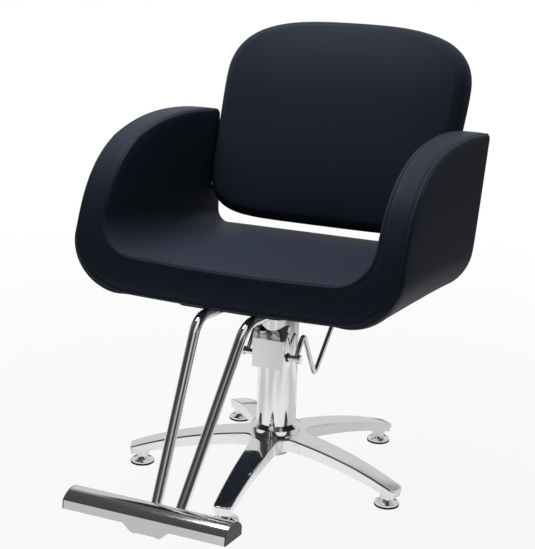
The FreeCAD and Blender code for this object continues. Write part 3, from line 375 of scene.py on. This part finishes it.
def grained_material(name, color, roughness, scale, strength=0.2, metallic=0.0):
    """Moulded, painted or plated surface with a fine grain."""
    make = MaterialMaker(name)
    make.base(color, roughness, metallic)
    grain = make.noise(scale, 4.0)
    make.color(grain, toned(color, 0.85), toned(color, 1.12))
    make.rough(grain, roughness * 0.85, min(1.0, roughness * 1.15))
    make.bump(grain, strength, 0.0003)
    return make.material


def wood_material():
    """Plywood: long grain with darker streaks."""
    make = MaterialMaker("plywood")
    make.base((0.5, 0.36, 0.2), 0.6)
    streaks = make.noise(1.0, 5.0, 0.6, make.scaled((90.0, 6.0, 90.0)))
    make.color(streaks, (0.42, 0.28, 0.15), (0.62, 0.46, 0.28))
    make.rough(streaks, 0.5, 0.7, 0.0, 1.0)
    make.bump(streaks, 0.2, 0.0004)
    return make.material


# ------------------------------------------------------------------ cloth

def inflate(obj, caps, pinned, settings):
    """Fills a closed cover with pressure.  Each point moves at most by its cap, and pinned points stay."""
    rest = [v.co.copy() for v in obj.data.vertices]
    group = obj.vertex_groups.new(name="seams")
    group.add(sorted(pinned), 1.0, "REPLACE")
    cloth = obj.modifiers.new("cover", "CLOTH")
    cloth.settings.use_pressure = True
    cloth.settings.uniform_pressure_force = settings.pressure
    cloth.settings.effector_weights.gravity = 0.0
    cloth.settings.vertex_group_mass = "seams"
    cloth.settings.quality = 6
    cloth.settings.mass = 0.02
    cloth.settings.tension_stiffness = 5.0
    cloth.settings.compression_stiffness = 5.0
    cloth.settings.shear_stiffness = 3.0
    cloth.settings.bending_stiffness = 0.5
    cloth.collision_settings.use_collision = False
    scene = bpy.context.scene
    scene.frame_end = max(scene.frame_end, settings.frames)
    for number in range(1, settings.frames + 1):
        scene.frame_set(number)
    graph = bpy.context.evaluated_depsgraph_get()
    result = obj.evaluated_get(graph).to_mesh()
    moved = [v.co - r for v, r in zip(result.vertices, rest)]
    obj.evaluated_get(graph).to_mesh_clear()
    obj.modifiers.remove(cloth)
    obj.vertex_groups.clear()
    scene.frame_set(1)
    moved = evened(obj.data, moved, pinned, EVEN_ROUNDS)
    for vertex, start, shift, cap in zip(obj.data.vertices, rest, moved, caps):
        length = shift.length
        if length > 1e-9 and cap > 0.0:
            vertex.co = start + shift * (cap * math.tanh(length / cap) / length)
        else:
            vertex.co = start


def evened(mesh, field, pinned, rounds):
    """Smooths a field of movements over the mesh."""
    neighbours = [[] for _ in mesh.vertices]
    for edge in mesh.edges:
        a, b = edge.vertices
        neighbours[a].append(b)
        neighbours[b].append(a)
    for _ in range(rounds):
        fresh = []
        for k, shift in enumerate(field):
            if k in pinned or not neighbours[k]:
                fresh.append(shift)
                continue
            mean = sum((field[n] for n in neighbours[k]), Vector()) / len(neighbours[k])
            fresh.append(shift.lerp(mean, 0.5))
        field = fresh
    return field


def press_seams(obj, depths):
    """Sinks each named point below the surface, or lifts it where the depth is negative."""
    normals = [v.normal.copy() for v in obj.data.vertices]
    for k, depth in depths.items():
        obj.data.vertices[k].co -= normals[k] * depth


# ------------------------------------------------------------------ covers

class Cover:
    """A closed cover of quads, with how far each point may swell and which points are sewn down."""

    RELAXED = 0            # rounds of smoothing once the cover is filled

    def __init__(self, settings):
        self.settings = settings
        self.verts, self.faces, self.caps = [], [], []
        self.seams, self.pinned = set(), set()
        self.build()

    def add(self, place, cap, seam=False, pin=False):
        self.verts.append(place)
        self.caps.append(cap)
        index = len(self.verts) - 1
        if seam:
            self.seams.add(index)
        if seam or pin:
            self.pinned.add(index)
        return index

    def fill(self, rows, turned=False):
        """Quads between rows of points."""
        for first, second in zip(rows, rows[1:]):
            for k in range(len(first) - 1):
                quad = [first[k], second[k], second[k + 1], first[k + 1]]
                self.faces.append(quad[::-1] if turned else quad)

    def object(self, name):
        """The cover as a mesh in the chair's frame, with outward faces."""
        mesh = bpy.data.meshes.new(name)
        mesh.from_pydata([self.PLACE @ v for v in self.verts], [], self.faces)
        mesh.update()
        work = bmesh.new()
        work.from_mesh(mesh)
        bmesh.ops.recalc_face_normals(work, faces=work.faces)
        work.to_mesh(mesh)
        work.free()
        return new_object(name, mesh)


class TubCover(Cover):
    """The tub as one closed cover: inner sheet, outer sheet, front band and rear strip."""

    PLACE = SEAT_FRAME
    DEPTH_SPACING = 11.0
    ARM_ROWS = 20
    CORNER_ROWS = 12
    SEAT_ROWS = 18
    FRONT_INNER_R = 72.0
    REAR_INNER_R = 27.0
    SEAM_R = 110.0
    OUTER_R = 84.0
    FOLD = 2.2             # depth of the rounded fold beside the lower corners, per millimetre of its width

    def __init__(self, settings):
        self.outline = Outline()
        start = self.outline.length_at_height(0.0)
        self.shoulder = start + (self.outline.total - start) * SHOULDER_SHARE
        self.depth_shares = rows_between_seams(TUB_LENGTH, self.DEPTH_SPACING)
        self.cross_shares = rows_between_seams(FRONT_OUT - FRONT_IN, CROSS_SPACING)
        super().__init__(settings)

    def half_stations(self):
        """From the top of an arm down to the middle of the seat: (kind, share) for each station."""
        arm = [("arm", s) for s in self.arm_shares()]
        corner = [("corner", k / self.CORNER_ROWS) for k in range(1, self.CORNER_ROWS)]
        seat = [("seat", k / self.SEAT_ROWS) for k in range(self.SEAT_ROWS + 1)]
        return arm + corner + seat

    def arm_shares(self):
        """Rows down an arm's wall: close together under the top seam, then even."""
        height = 150.0
        edge = [r / height for r in EDGE_ROWS]
        count = self.ARM_ROWS - len(edge)
        rest = [edge[-1] + (1.0 - edge[-1]) * k / count for k in range(1, count + 1)]
        return edge + rest

    # Places on the front seams, as (x, length along the outline).
    def front_seam(self, kind, share, half, r, edge, dip):
        """Down the arm, round the corner, then along an edge that rises a little towards the arms."""
        if kind == "seat":
            return (half - r) * (1.0 - share), self.outline.length_at_height(edge + dip * (1.0 - share) ** 2)
        turn = edge + dip + r
        if kind == "corner":
            angle = share * math.pi / 2
            return half - r + r * math.cos(angle), self.outline.length_at_height(turn - r * math.sin(angle))
        return half, self.shoulder + (self.outline.length_at_height(turn) - self.shoulder) * share

    def inner_seam(self, kind, share):
        return self.front_seam(kind, share, FRONT_IN, self.FRONT_INNER_R, SEAT_FRONT, SEAT_DIP)

    def outer_seam(self, kind, share):
        return self.front_seam(kind, share, FRONT_OUT, self.SEAM_R, TUB_BOTTOM, BOTTOM_DIP)

    # Places on the rear edge, as (x, w).
    def rear_edge(self, kind, share, half, r, low):
        if kind == "arm":
            top = self.outline.points[-1].y
            x, w = half, top + (low + r - top) * share
        elif kind == "corner":
            angle = share * math.pi / 2
            x, w = half - r + r * math.cos(angle), low + r - r * math.sin(angle)
        else:
            x, w = (half - r) * (1.0 - share), low
        return x * (1.0 - SPLAY * (ARM_CURVE[-1][1] - w)), w

    def rear_inner(self, kind, share):
        return self.rear_edge(kind, share, REAR_IN, self.REAR_INNER_R, SEAT_REAR)

    def rear_outer(self, kind, share):
        return self.rear_edge(kind, share, REAR_OUT, self.OUTER_R, TUB_BOTTOM)

    def fold(self, kind, share):
        """How far the tub's edge lies outside the seam at a lower corner, and in which direction (x, w)."""
        angle = share * math.pi / 2 if kind == "corner" else 0.0
        way = Vector((math.cos(angle), -math.sin(angle)))
        if kind != "corner":
            return 0.0, way
        spread = self.SEAM_R - self.OUTER_R
        return spread * (way.x - way.y - 1.0), way

    def sheet_point(self, seam, rear, kind, share, t):
        """A place on the inner or outer sheet: t runs from the front seam to the rear seam."""
        x, length = seam(kind, share)
        front = self.outline.at(length)
        rear_x, rear_w = rear(kind, share)
        wide = x + (rear_x - x) * t
        if kind != "arm":
            return Vector((wide, front.x + (TUB_LENGTH - front.x) * t, front.y + (rear_w - front.y) * t))
        top = self.outline.at(self.shoulder + (self.outline.total - self.shoulder) * t)
        low_front = self.outline.at(seam("arm", 1.0)[1])
        low_rear = Vector((TUB_LENGTH, rear("arm", 1.0)[1]))
        low = low_front.lerp(low_rear, t)
        side = front.lerp(Vector((TUB_LENGTH, rear_w)), t)
        corner_front = self.outline.at(self.shoulder)
        corner_rear = self.outline.at(self.outline.total)
        square = corner_front.lerp(corner_rear, t).lerp(low, share)
        place = top.lerp(low, share) + side - square
        return Vector((wide, place.x, place.y))

    def inner_point(self, kind, share, t):
        return self.sheet_point(self.inner_seam, self.rear_inner, kind, share, t)

    def outer_point(self, kind, share, t):
        """The outer sheet swells past the front seam at the corners, and is pulled flat under the board."""
        place = self.sheet_point(self.outer_seam, self.rear_outer, kind, share, t)
        width, way = self.fold(kind, share)
        if width > 0.0:
            gone = min(t * TUB_LENGTH / (width * self.FOLD), 1.0)
            stand = width * (math.sqrt(1.0 - (1.0 - gone) ** 2) - t)
            place += Vector((way.x * stand, 0.0, way.y * stand))
        if kind != "arm":
            sink = BOTTOM_DIP * (1.0 - share) ** 2 if kind == "seat" else BOTTOM_DIP * share ** 2
            place.z -= sink * (min(t * TUB_LENGTH / BOTTOM_WRAP, 1.0) - t)
        return place

    def build(self):
        s = self.settings
        half = self.half_stations()
        stations = [(1, k, v) for k, v in half] + [(-1, k, v) for k, v in reversed(half[:-1])]
        last_row = len(self.depth_shares) - 1
        inner, outer = [], []
        for side, kind, share in stations:
            inner_row, outer_row = [], []
            for j, t in enumerate(self.depth_shares):
                on_seam = j in (0, last_row) or (kind == "arm" and share == 0.0)
                place = self.inner_point(kind, share, t)
                place.x *= side
                inner_row.append(self.add(place, self.inner_cap(kind, share), on_seam))
                place = self.outer_point(kind, share, t)
                place.x *= side
                under = kind == "seat" or (kind == "corner" and share > 0.75)
                outer_row.append(self.add(place, s.wall_crown / MM, on_seam, under))
            inner.append(inner_row)
            outer.append(outer_row)
        self.fill(inner)
        self.fill(outer, turned=True)
        self.sew_band(stations, inner, outer)

    def inner_cap(self, kind, share):
        s = self.settings
        if kind == "arm":
            return s.wall_crown / MM
        if kind == "corner":
            return s.wall_crown / MM * (1.0 - share) + s.seat_crown / MM * share ** 2 * 0.5
        rise = min(1.0, share * 2.2)
        return s.seat_crown / MM * (0.5 + 0.5 * rise)

    def sew_band(self, stations, inner, outer):
        """The padded band round the front and over the arms, and the strip round the rear edge."""
        s = self.settings
        last_row = len(self.depth_shares) - 1
        last_station = len(stations) - 1
        path = [(0, j) for j in range(last_row, 0, -1)]
        path += [(i, 0) for i in range(last_station + 1)]
        path += [(last_station, j) for j in range(1, last_row + 1)]
        cross = self.cross_shares
        band = []
        for i, j in path:
            side, kind, share = stations[i]
            if kind == "arm" and share == 0.0 and j > 0:
                length = self.shoulder + (self.outline.total - self.shoulder) * self.depth_shares[j]
                a, b = ((abs(self.verts[grid[i][j]].x), length) for grid in (inner, outer))
            else:
                a, b = self.inner_seam(kind, share), self.outer_seam(kind, share)
            row = [inner[i][j]]
            for c in cross[1:-1]:
                place = self.outline.at(a[1] + (b[1] - a[1]) * c)
                x = (a[0] + (b[0] - a[0]) * c) * side
                end = j == last_row
                row.append(self.add(Vector((x, place.x, place.y)), s.band_crown / MM, end))
            row.append(outer[i][j])
            band.append(row)
        for first, second in zip(band, band[1:]):
            for k in range(len(cross) - 1):
                self.faces.append([first[k], first[k + 1], second[k + 1], second[k]])
        self.stitch_rows = [[row[k] for row in band] for k in (STITCH_ROW, -1 - STITCH_ROW)]
        self.welts = [k for row in band for k in (row[WELT_ROW], row[-1 - WELT_ROW])]
        rear = []
        for i, (side, kind, share) in enumerate(stations):
            if i in (0, last_station):
                rear.append(band[0] if i == 0 else band[-1])
                continue
            a, b = self.rear_inner(kind, share), self.rear_outer(kind, share)
            row = [inner[i][last_row]]
            for c in cross[1:-1]:
                x = (a[0] + (b[0] - a[0]) * c) * side
                place = Vector((x, TUB_LENGTH, a[1] + (b[1] - a[1]) * c))
                row.append(self.add(place, s.wall_crown / MM))
            row.append(outer[i][last_row])
            rear.append(row)
        self.fill(rear)


class BackCover(Cover):
    """The backrest as one closed cover: front, side gusset and back."""

    PLACE = BACK_FRAME
    RELAXED = 10
    SPACING = 13.0
    HALF = 243.0
    UPPER = (60.0, 144.0, 3.0)      # centre, height and squareness of the front seam's upper half
    LOWER = (10.0, 209.0, 6.0)
    FRONT_N = 4.0
    LEAN = (40.0, 8.0)              # above this height the front leans back, by this much at the top
    TOP_THICK = 62.0
    LOW_THICK = 50.0
    FREE_FROM = (-60.0, 50.0)        # above the arms the sides are free to swell

    def __init__(self, settings):
        self.grid = [2.0 * s - 1.0 for s in rows_between_seams(self.HALF * 2, self.SPACING)]
        self.depths = rows_between_seams(self.LOW_THICK, CROSS_SPACING)
        super().__init__(settings)

    def stand(self, angle, height, depth):
        """How far the gusset stands out past the front seam, from 0 at the front to the back seam at 1."""
        free = min(max((height - self.FREE_FROM[0]) / (self.FREE_FROM[1] - self.FREE_FROM[0]), 0.0), 1.0)
        free = free * free * (3.0 - 2.0 * free)
        side = math.cos(angle) ** 2
        end = 1.0 - side
        upper = math.sin(angle) > 0
        flare = side * (4.0 + 9.0 * free) + end * (8.0 if upper else 5.0)
        bulge = side * (7.0 + 8.0 * free) + end * (8.0 if upper else 5.0)
        return flare * depth + 4.0 * bulge * depth * (1.0 - depth)

    def front_n(self, height):
        start, lean = self.LEAN
        return self.FRONT_N + lean * max(0.0, (height - start) / (sum(self.UPPER[:2]) - start)) ** 2

    def back_n(self, height):
        """The back seam's place behind the front: the backrest thins towards its lower edge."""
        low, high = self.LOWER[0] - self.LOWER[1], self.UPPER[0] + self.UPPER[1]
        share = (height - low) / (high - low)
        return self.LOW_THICK + (self.TOP_THICK - self.LOW_THICK) * share

    def rim(self, angle, out):
        """A point of the outline at an angle, moved out by a distance: (x, s)."""
        c, s = math.cos(angle), math.sin(angle)
        centre, height, power = self.UPPER if s >= 0 else self.LOWER
        half = self.HALF + out
        x = math.copysign(abs(c) ** (2.0 / power), c) * half
        rise = math.copysign(abs(s) ** (2.0 / power), s) * (height + out)
        return x, centre + rise

    def angle_of(self, a, b):
        """The outline's angle that a place of the unit square belongs to."""
        if abs(a) >= abs(b):
            return math.pi / 4 * (b / a) + (0.0 if a > 0 else math.pi)
        return math.pi / 2 - math.pi / 4 * (a / b) + (0.0 if b > 0 else math.pi)

    def spot(self, a, b, depth):
        """Maps a place of the unit square to the inside of the outline at a depth of the gusset."""
        middle = (self.UPPER[0] + self.LOWER[0]) / 2
        reach = max(abs(a), abs(b))
        if reach < 1e-9:
            return 0.0, middle
        angle = self.angle_of(a, b)
        height = self.rim(angle, 0.0)[1]
        x, s = self.rim(angle, self.stand(angle, height, depth))
        return x * reach, middle + (s - middle) * reach

    def place(self, a, b, depth):
        """The point of the cover at a place of the unit square and a depth of the gusset."""
        x, height = self.spot(a, b, depth)
        front = self.front_n(height)
        return Vector((x, front + (self.back_n(height) - front) * depth, height))

    def sheet(self, depth, cap):
        last = len(self.grid) - 1
        rows = []
        for i, a in enumerate(self.grid):
            row = []
            for j, b in enumerate(self.grid):
                edge = i in (0, last) or j in (0, last)
                row.append(self.add(self.place(a, b, depth), cap, edge))
            rows.append(row)
        return rows

    def rim_path(self, rows):
        last = len(self.grid) - 1
        path = [rows[last][j] for j in range(last)]
        path += [rows[i][last] for i in range(last, 0, -1)]
        path += [rows[0][j] for j in range(last, 0, -1)]
        path += [rows[i][0] for i in range(last)]
        return path

    def build(self):
        s = self.settings
        front = self.sheet(0.0, s.back_crown / MM)
        back = self.sheet(1.0, s.wall_crown / MM)
        self.fill(front)
        self.fill(back, turned=True)
        rings = [self.rim_path(front)]
        ends = self.rim_path([[(a, b) for b in self.grid] for a in self.grid])
        for depth in self.depths[1:-1]:
            rings.append([self.add(self.place(a, b, depth), s.gusset_crown / MM) for a, b in ends])
        rings.append(self.rim_path(back))
        self.fill([ring + ring[:1] for ring in rings])
        self.stitch_rows = [rings[STITCH_ROW], rings[-1 - STITCH_ROW]]
        self.welts = rings[WELT_ROW] + rings[-1 - WELT_ROW]


# ------------------------------------------------------------------ stitches

def stitch_group():
    """Geometry nodes that lay thread stitches along a curve."""
    tree = bpy.data.node_groups.new("lay_stitches", "GeometryNodeTree")
    sockets = (("Geometry", "INPUT", "Geometry"), ("Pitch", "INPUT", "Float"), ("Length", "INPUT", "Float"),
               ("Thread Radius", "INPUT", "Float"), ("Thread", "INPUT", "Material"),
               ("Geometry", "OUTPUT", "Geometry"))
    for name, way, kind in sockets:
        tree.interface.new_socket(name, in_out=way, socket_type="NodeSocket" + kind)
    make = NodeMaker(tree)
    given = make.node("NodeGroupInput").outputs
    spaced = make.node("GeometryNodeResampleCurve", mode="LENGTH", Curve=given["Geometry"],
                       Length=given["Pitch"])
    stitch = make.node("GeometryNodeMeshUVSphere", Segments=8, Rings=6, Radius=1.0)
    radius, half = given["Thread Radius"], make.math("MULTIPLY", given["Length"], 0.5)
    size = make.node("ShaderNodeCombineXYZ", X=radius, Y=radius, Z=half)
    tangent = make.node("GeometryNodeInputTangent").outputs["Tangent"]
    turn = make.node("FunctionNodeAlignRotationToVector", axis="Z", Vector=tangent)
    laid = make.node("GeometryNodeInstanceOnPoints", Points=spaced.outputs["Curve"],
                     Instance=stitch.outputs["Mesh"], Rotation=turn.outputs["Rotation"],
                     Scale=size.outputs["Vector"])
    real = make.node("GeometryNodeRealizeInstances", Geometry=laid.outputs["Instances"])
    thread = make.node("GeometryNodeSetMaterial", Geometry=real.outputs["Geometry"],
                       Material=given["Thread"])
    make.node("NodeGroupOutput", Geometry=thread.outputs["Geometry"])
    return tree


def sew(name, lines, closed, surface, settings, material):
    """Stitches along lines of points that lie on a surface."""
    graph = bpy.context.evaluated_depsgraph_get()
    tree = BVHTree.FromObject(surface, graph)
    curve = bpy.data.curves.new(name, "CURVE")
    curve.dimensions = "3D"
    for line in lines:
        spline = curve.splines.new("POLY")
        spline.points.add(len(line) - 1)
        spline.use_cyclic_u = closed
        for point, place in zip(spline.points, line):
            hit, normal, _, _ = tree.find_nearest(place)
            point.co = (*(hit + normal * settings.thread_radius * THREAD_STAND), 1.0)
    obj = new_object(name, curve)
    layer = obj.modifiers.new("stitches", "NODES")
    group = bpy.data.node_groups.get("lay_stitches") or stitch_group()
    layer.node_group = group
    values = {"Pitch": settings.stitch_pitch, "Length": settings.stitch_length,
              "Thread Radius": settings.thread_radius, "Thread": material}
    for item in group.interface.items_tree:
        if item.in_out == "INPUT" and item.name in values:
            layer[item.identifier] = values[item.name]
    obj.update_tag()
    graph = bpy.context.evaluated_depsgraph_get()
    mesh = bpy.data.meshes.new_from_object(obj.evaluated_get(graph), depsgraph=graph)
    mesh.name = name
    bpy.data.objects.remove(obj)
    bpy.data.curves.remove(curve)
    made = new_object(name, mesh)
    smooth(made)
    return made


def finish_cover(obj, cover, settings, material):
    """Fills a cover, sinks its seams, smooths it and dresses it.  Gives back the lines to be stitched."""
    inflate(obj, [c * MM for c in cover.caps], cover.pinned, settings)
    if cover.RELAXED:
        places = evened(obj.data, [v.co.copy() for v in obj.data.vertices], cover.pinned, cover.RELAXED)
        for vertex, place in zip(obj.data.vertices, places):
            vertex.co = place
    obj.data.update()
    depths = {k: -settings.welt for k in cover.welts}
    for row in cover.stitch_rows:
        depths.update({k: settings.groove * STITCH_SINK for k in row})
    depths.update({k: settings.groove for k in cover.seams})
    press_seams(obj, depths)
    lines = [[obj.data.vertices[k].co.copy() for k in row] for row in cover.stitch_rows]
    rounder = obj.modifiers.new("rounder", "SUBSURF")
    rounder.levels = rounder.render_levels = 1
    rounder.subdivision_type = "CATMULL_CLARK"
    plain_mesh(obj)
    smooth(obj)
    paint(obj, material)
    return lines


# ------------------------------------------------------------------ operators

def material_named(name, build):
    return bpy.data.materials.get(name) or build()


def upholstery(context):
    return context.scene.chair_upholstery


def vinyl(context):
    return material_named("black_vinyl", lambda: vinyl_material(upholstery(context).vinyl_color[:]))


class CHAIR_OT_tub(bpy.types.Operator):
    """Sew and fill the seat tub with its two arms"""
    bl_idname = "chair.build_tub"
    bl_label = "Tub"

    def execute(self, context):
        settings = upholstery(context)
        cover = TubCover(settings)
        tub = cover.object("tub_cover")
        lines = finish_cover(tub, cover, settings, vinyl(context))
        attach(tub, "seat")
        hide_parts("seat_pad", "arm_pad_left", "arm_pad_right")
        thread = material_named("black_thread", thread_material)
        seams = sew("tub_stitches", lines, False, tub, settings, thread)
        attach(seams, "seat")
        return {"FINISHED"}


class CHAIR_OT_backrest(bpy.types.Operator):
    """Sew and fill the backrest"""
    bl_idname = "chair.build_backrest"
    bl_label = "Backrest"

    def execute(self, context):
        settings = upholstery(context)
        cover = BackCover(settings)
        back = cover.object("backrest_cover")
        lines = finish_cover(back, cover, settings, vinyl(context))
        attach(back, "seat")
        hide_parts("backrest_pad")
        thread = material_named("black_thread", thread_material)
        seams = sew("backrest_stitches", lines, True, back, settings, thread)
        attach(seams, "seat")
        return {"FINISHED"}


class CHAIR_OT_finishes(bpy.types.Operator):
    """Give every metal, wood, rubber and plastic piece its finish"""
    bl_idname = "chair.apply_finishes"
    bl_label = "Finishes"

    def execute(self, context):
        finishes = {
            "chrome": chrome_material("chrome", 0.05),
            "polished_casting": casting_material(),
            "brushed_bar": brushed_material("brushed_bar", (0.88, 0.88, 0.885), 0.13, (6.0, 500.0, 500.0)),
            "zinc_plate": grained_material("zinc_plate", (0.55, 0.56, 0.57), 0.35, 220.0, 0.1, 1.0),
            "black_steel": grained_material("black_steel", (0.02, 0.02, 0.022), 0.4, 500.0, 0.15),
            "iron": grained_material("iron", (0.12, 0.12, 0.125), 0.7, 300.0, 0.4),
            "bronze": grained_material("bronze", (0.55, 0.38, 0.17), 0.35, 260.0, 0.1, 1.0),
            "grey_plastic": grained_material("grey_plastic", (0.16, 0.165, 0.17), 0.5, 700.0, 0.2),
            "rubber": grained_material("rubber", (0.018, 0.018, 0.018), 0.75, 500.0, 0.3),
            "plywood": wood_material(),
            "vinyl": vinyl(context),
        }
        for part in frame["record"]["subparts"]:
            paint(node_object(part["node"]), finishes[part["material_slot"]])
        return {"FINISHED"}


class CHAIR_OT_spring(bpy.types.Operator):
    """Copy the plunger's return spring into a mesh of its own, carried by the base"""
    bl_idname = "chair.build_spring"
    bl_label = "Return Spring"

    def execute(self, context):
        node = node_object("plunger_spring")
        spring = new_object("return_spring", node.data.copy())
        spring.data.transform(node.matrix_world)
        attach(spring, "base")
        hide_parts("plunger_spring")
        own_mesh(spring)
        return {"FINISHED"}


# ------------------------------------------------------------------ stage

def lamp(name, place, target, size, power):
    """A rectangular soft box that faces its target."""
    data = bpy.data.lights.new(name, "AREA")
    data.shape = "RECTANGLE"
    data.size, data.size_y = size
    data.energy = power
    obj = new_object(name, data)
    obj.location = place
    way = Vector(target) - Vector(place)
    obj.rotation_euler = way.to_track_quat("-Z", "Y").to_euler()
    return obj


def studio_camera():
    """A long lens before the chair, on the sitter's left, that looks down at the seat."""
    place = (0.9187, -2.1541, 1.0338)
    yaw, pitch, roll = math.radians(23.7), math.radians(15.39), math.radians(1.63)
    ahead = Vector((-math.sin(yaw), math.cos(yaw), 0.0))
    right = Vector((math.cos(yaw), math.sin(yaw), 0.0))
    up_axis = Vector((0.0, 0.0, 1.0))
    view = ahead * math.cos(pitch) - up_axis * math.sin(pitch)
    top = ahead * math.sin(pitch) + up_axis * math.cos(pitch)
    side = right * math.cos(roll) + top * math.sin(roll)
    head = top * math.cos(roll) - right * math.sin(roll)
    data = bpy.data.cameras.new("studio_camera")
    data.lens = 84.65
    data.sensor_width = 36.0
    camera = new_object("studio_camera", data)
    turn = Matrix((side, head, -view)).transposed()
    camera.matrix_world = Matrix.Translation(place) @ turn.to_4x4()
    bpy.context.scene.camera = camera


class Ways(NodeMaker):
    """Tells apart what lamps' rays, the lens and mirrors see of the stage."""

    def __init__(self, tree):
        super().__init__(tree)
        rays = self.node("ShaderNodeLightPath").outputs
        self.lens = rays["Is Camera Ray"]
        self.mirrors = self.math("MAXIMUM", rays["Is Glossy Ray"], rays["Is Transmission Ray"])

    def parts(self, kind):
        """A place or a direction, and its x, y and z."""
        place = self.node("ShaderNodeTexCoord").outputs[kind]
        return place, self.node("ShaderNodeSeparateXYZ", Vector=place).outputs

    def product(self, first, *others):
        for other in others:
            first = self.math("MULTIPLY", first, other)
        return first

    def mix(self, share, first, second):
        made = self.node("ShaderNodeMixShader")
        for socket, value in zip(made.inputs, (share, first, second)):
            self.feed(socket, value)
        return made.outputs[0]

    def glow(self, kind, strength):
        """A plain white emitter or background."""
        return self.node(kind, Color=(1.0, 1.0, 1.0, 1.0), Strength=strength).outputs[0]


def studio_floor(settings):
    """A pale floor.  The lens sees it almost white near the chair and plain white further out.  Mirrors see
    soft patches, bright round the chair and dim far before it, behind it and on the sitter's left."""
    half = settings.floor_size / 2
    corners = [(-half, -half, 0), (half, -half, 0), (half, half, 0), (-half, half, 0)]
    mesh = bpy.data.meshes.new("floor")
    mesh.from_pydata(corners, [], [(0, 1, 2, 3)])
    floor = new_object("floor", mesh)
    material = bpy.data.materials.new("floor")
    material.use_nodes = True
    tree = material.node_tree
    shader = tree.nodes["Principled BSDF"]
    shader.inputs["Base Color"].default_value = (*settings.floor_color, 1.0)
    shader.inputs["Roughness"].default_value = 0.9
    ways = Ways(tree)
    place, (x, y, _) = ways.parts("Object")
    reach = ways.math("SQRT", ways.math("ADD", ways.product(x, x), ways.product(y, y)))
    white = ways.product(ways.lens, ways.ramp(reach, 0.5, 2.2, settings.floor_white, 1.0))
    lit = ways.mix(white, shader.outputs["BSDF"], ways.glow("ShaderNodeEmission", 1.0))
    before = ways.ramp(y, -2.6, -1.1, settings.set_end, 0.8)
    behind = ways.ramp(y, 1.4, 0.5, 0.25, 1.0)
    aside = ways.ramp(x, 1.2, 0.45, 0.15, 1.0)
    noise = ways.node("ShaderNodeTexNoise", Scale=1.9, Detail=1.0, Vector=place)
    patches = ways.ramp(noise.outputs["Fac"], 0.4, 0.62, 0.74, 1.06)
    seen = ways.glow("ShaderNodeEmission", ways.product(before, behind, aside, patches))
    tree.links.new(ways.mix(ways.mirrors, lit, seen), tree.nodes["Material Output"].inputs["Surface"])
    paint(floor, material)


def studio_world(settings):
    """White all round for the lens.  Mirrors see a bright backdrop, a ceiling that is bright on the
    sitter's left, and a dim room elsewhere."""
    world = bpy.data.worlds.new("studio")
    bpy.context.scene.world = world
    world.use_nodes = True
    tree = world.node_tree
    ambient = tree.nodes["Background"]
    ambient.inputs["Color"].default_value = (0.9, 0.94, 1.0, 1.0)
    ambient.inputs["Strength"].default_value = settings.ambient
    ways = Ways(tree)
    _, (x, y, z) = ways.parts("Generated")
    backdrop = ways.product(ways.ramp(y, -0.15, 0.3), ways.ramp(z, 0.85, 0.5, 0.0, 0.66))
    above = ways.product(ways.ramp(z, 0.5, 0.85), ways.ramp(x, 0.05, 0.35, 0.07, 0.9))
    room = ways.math("MAXIMUM", ways.math("MAXIMUM", backdrop, above), settings.set_end)
    lit = ways.mix(ways.lens, ambient.outputs[0], ways.glow("ShaderNodeBackground", 1.0))
    lit = ways.mix(ways.mirrors, lit, ways.glow("ShaderNodeBackground", room))
    tree.links.new(lit, tree.nodes["World Output"].inputs["Surface"])


class CHAIR_OT_stage(bpy.types.Operator):
    """Set the floor, the lamps, the world and the camera"""
    bl_idname = "chair.set_stage"
    bl_label = "Stage"

    def execute(self, context):
        settings = context.scene.chair_studio
        scene = context.scene
        scene.view_settings.view_transform = "Standard"
        studio_floor(settings)
        studio_world(settings)
        key = lamp("key_lamp", (-0.65, 0.5, 2.6), (0.0, 0.0, 0.45), (1.7, 1.6), settings.lamp_power)
        key.visible_glossy = False
        top = lamp("top_box", (-0.33, 0.03, 1.7), (-0.33, 0.1, 0.8), (0.55, 0.6), settings.top_power)
        top.visible_camera = False
        top.visible_diffuse = False
        lamp("front_box", (0.1, -2.5, 1.9), (0.0, 0.0, 0.4), (2.4, 0.9), settings.box_power)
        studio_camera()
        return {"FINISHED"}


class CHAIR_PT_panel(bpy.types.Panel):
    """Lists the chair's building steps"""
    bl_idname = "CHAIR_PT_panel"
    bl_label = "Styling Chair"
    bl_space_type = "VIEW_3D"
    bl_region_type = "UI"
    bl_category = "Styling Chair"

    def draw(self, context):
        for operator in STEPS:
            self.layout.operator(operator.bl_idname)


STEPS = (CHAIR_OT_finishes, CHAIR_OT_tub, CHAIR_OT_backrest, CHAIR_OT_spring, CHAIR_OT_stage)
CLASSES = (UpholsterySettings, StudioSettings) + STEPS + (CHAIR_PT_panel,)


def register():
    for item in CLASSES:
        bpy.utils.register_class(item)
    bpy.types.Scene.chair_upholstery = PointerProperty(type=UpholsterySettings)
    bpy.types.Scene.chair_studio = PointerProperty(type=StudioSettings)


def unregister():
    del bpy.types.Scene.chair_upholstery
    del bpy.types.Scene.chair_studio
    for item in reversed(CLASSES):
        bpy.utils.unregister_class(item)


def main():
    register()
    bpy.ops.chair.apply_finishes()
    bpy.ops.chair.build_tub()
    bpy.ops.chair.build_backrest()
    bpy.ops.chair.build_spring()
    bpy.ops.chair.set_stage()


if __name__ == "__main__":
    main()
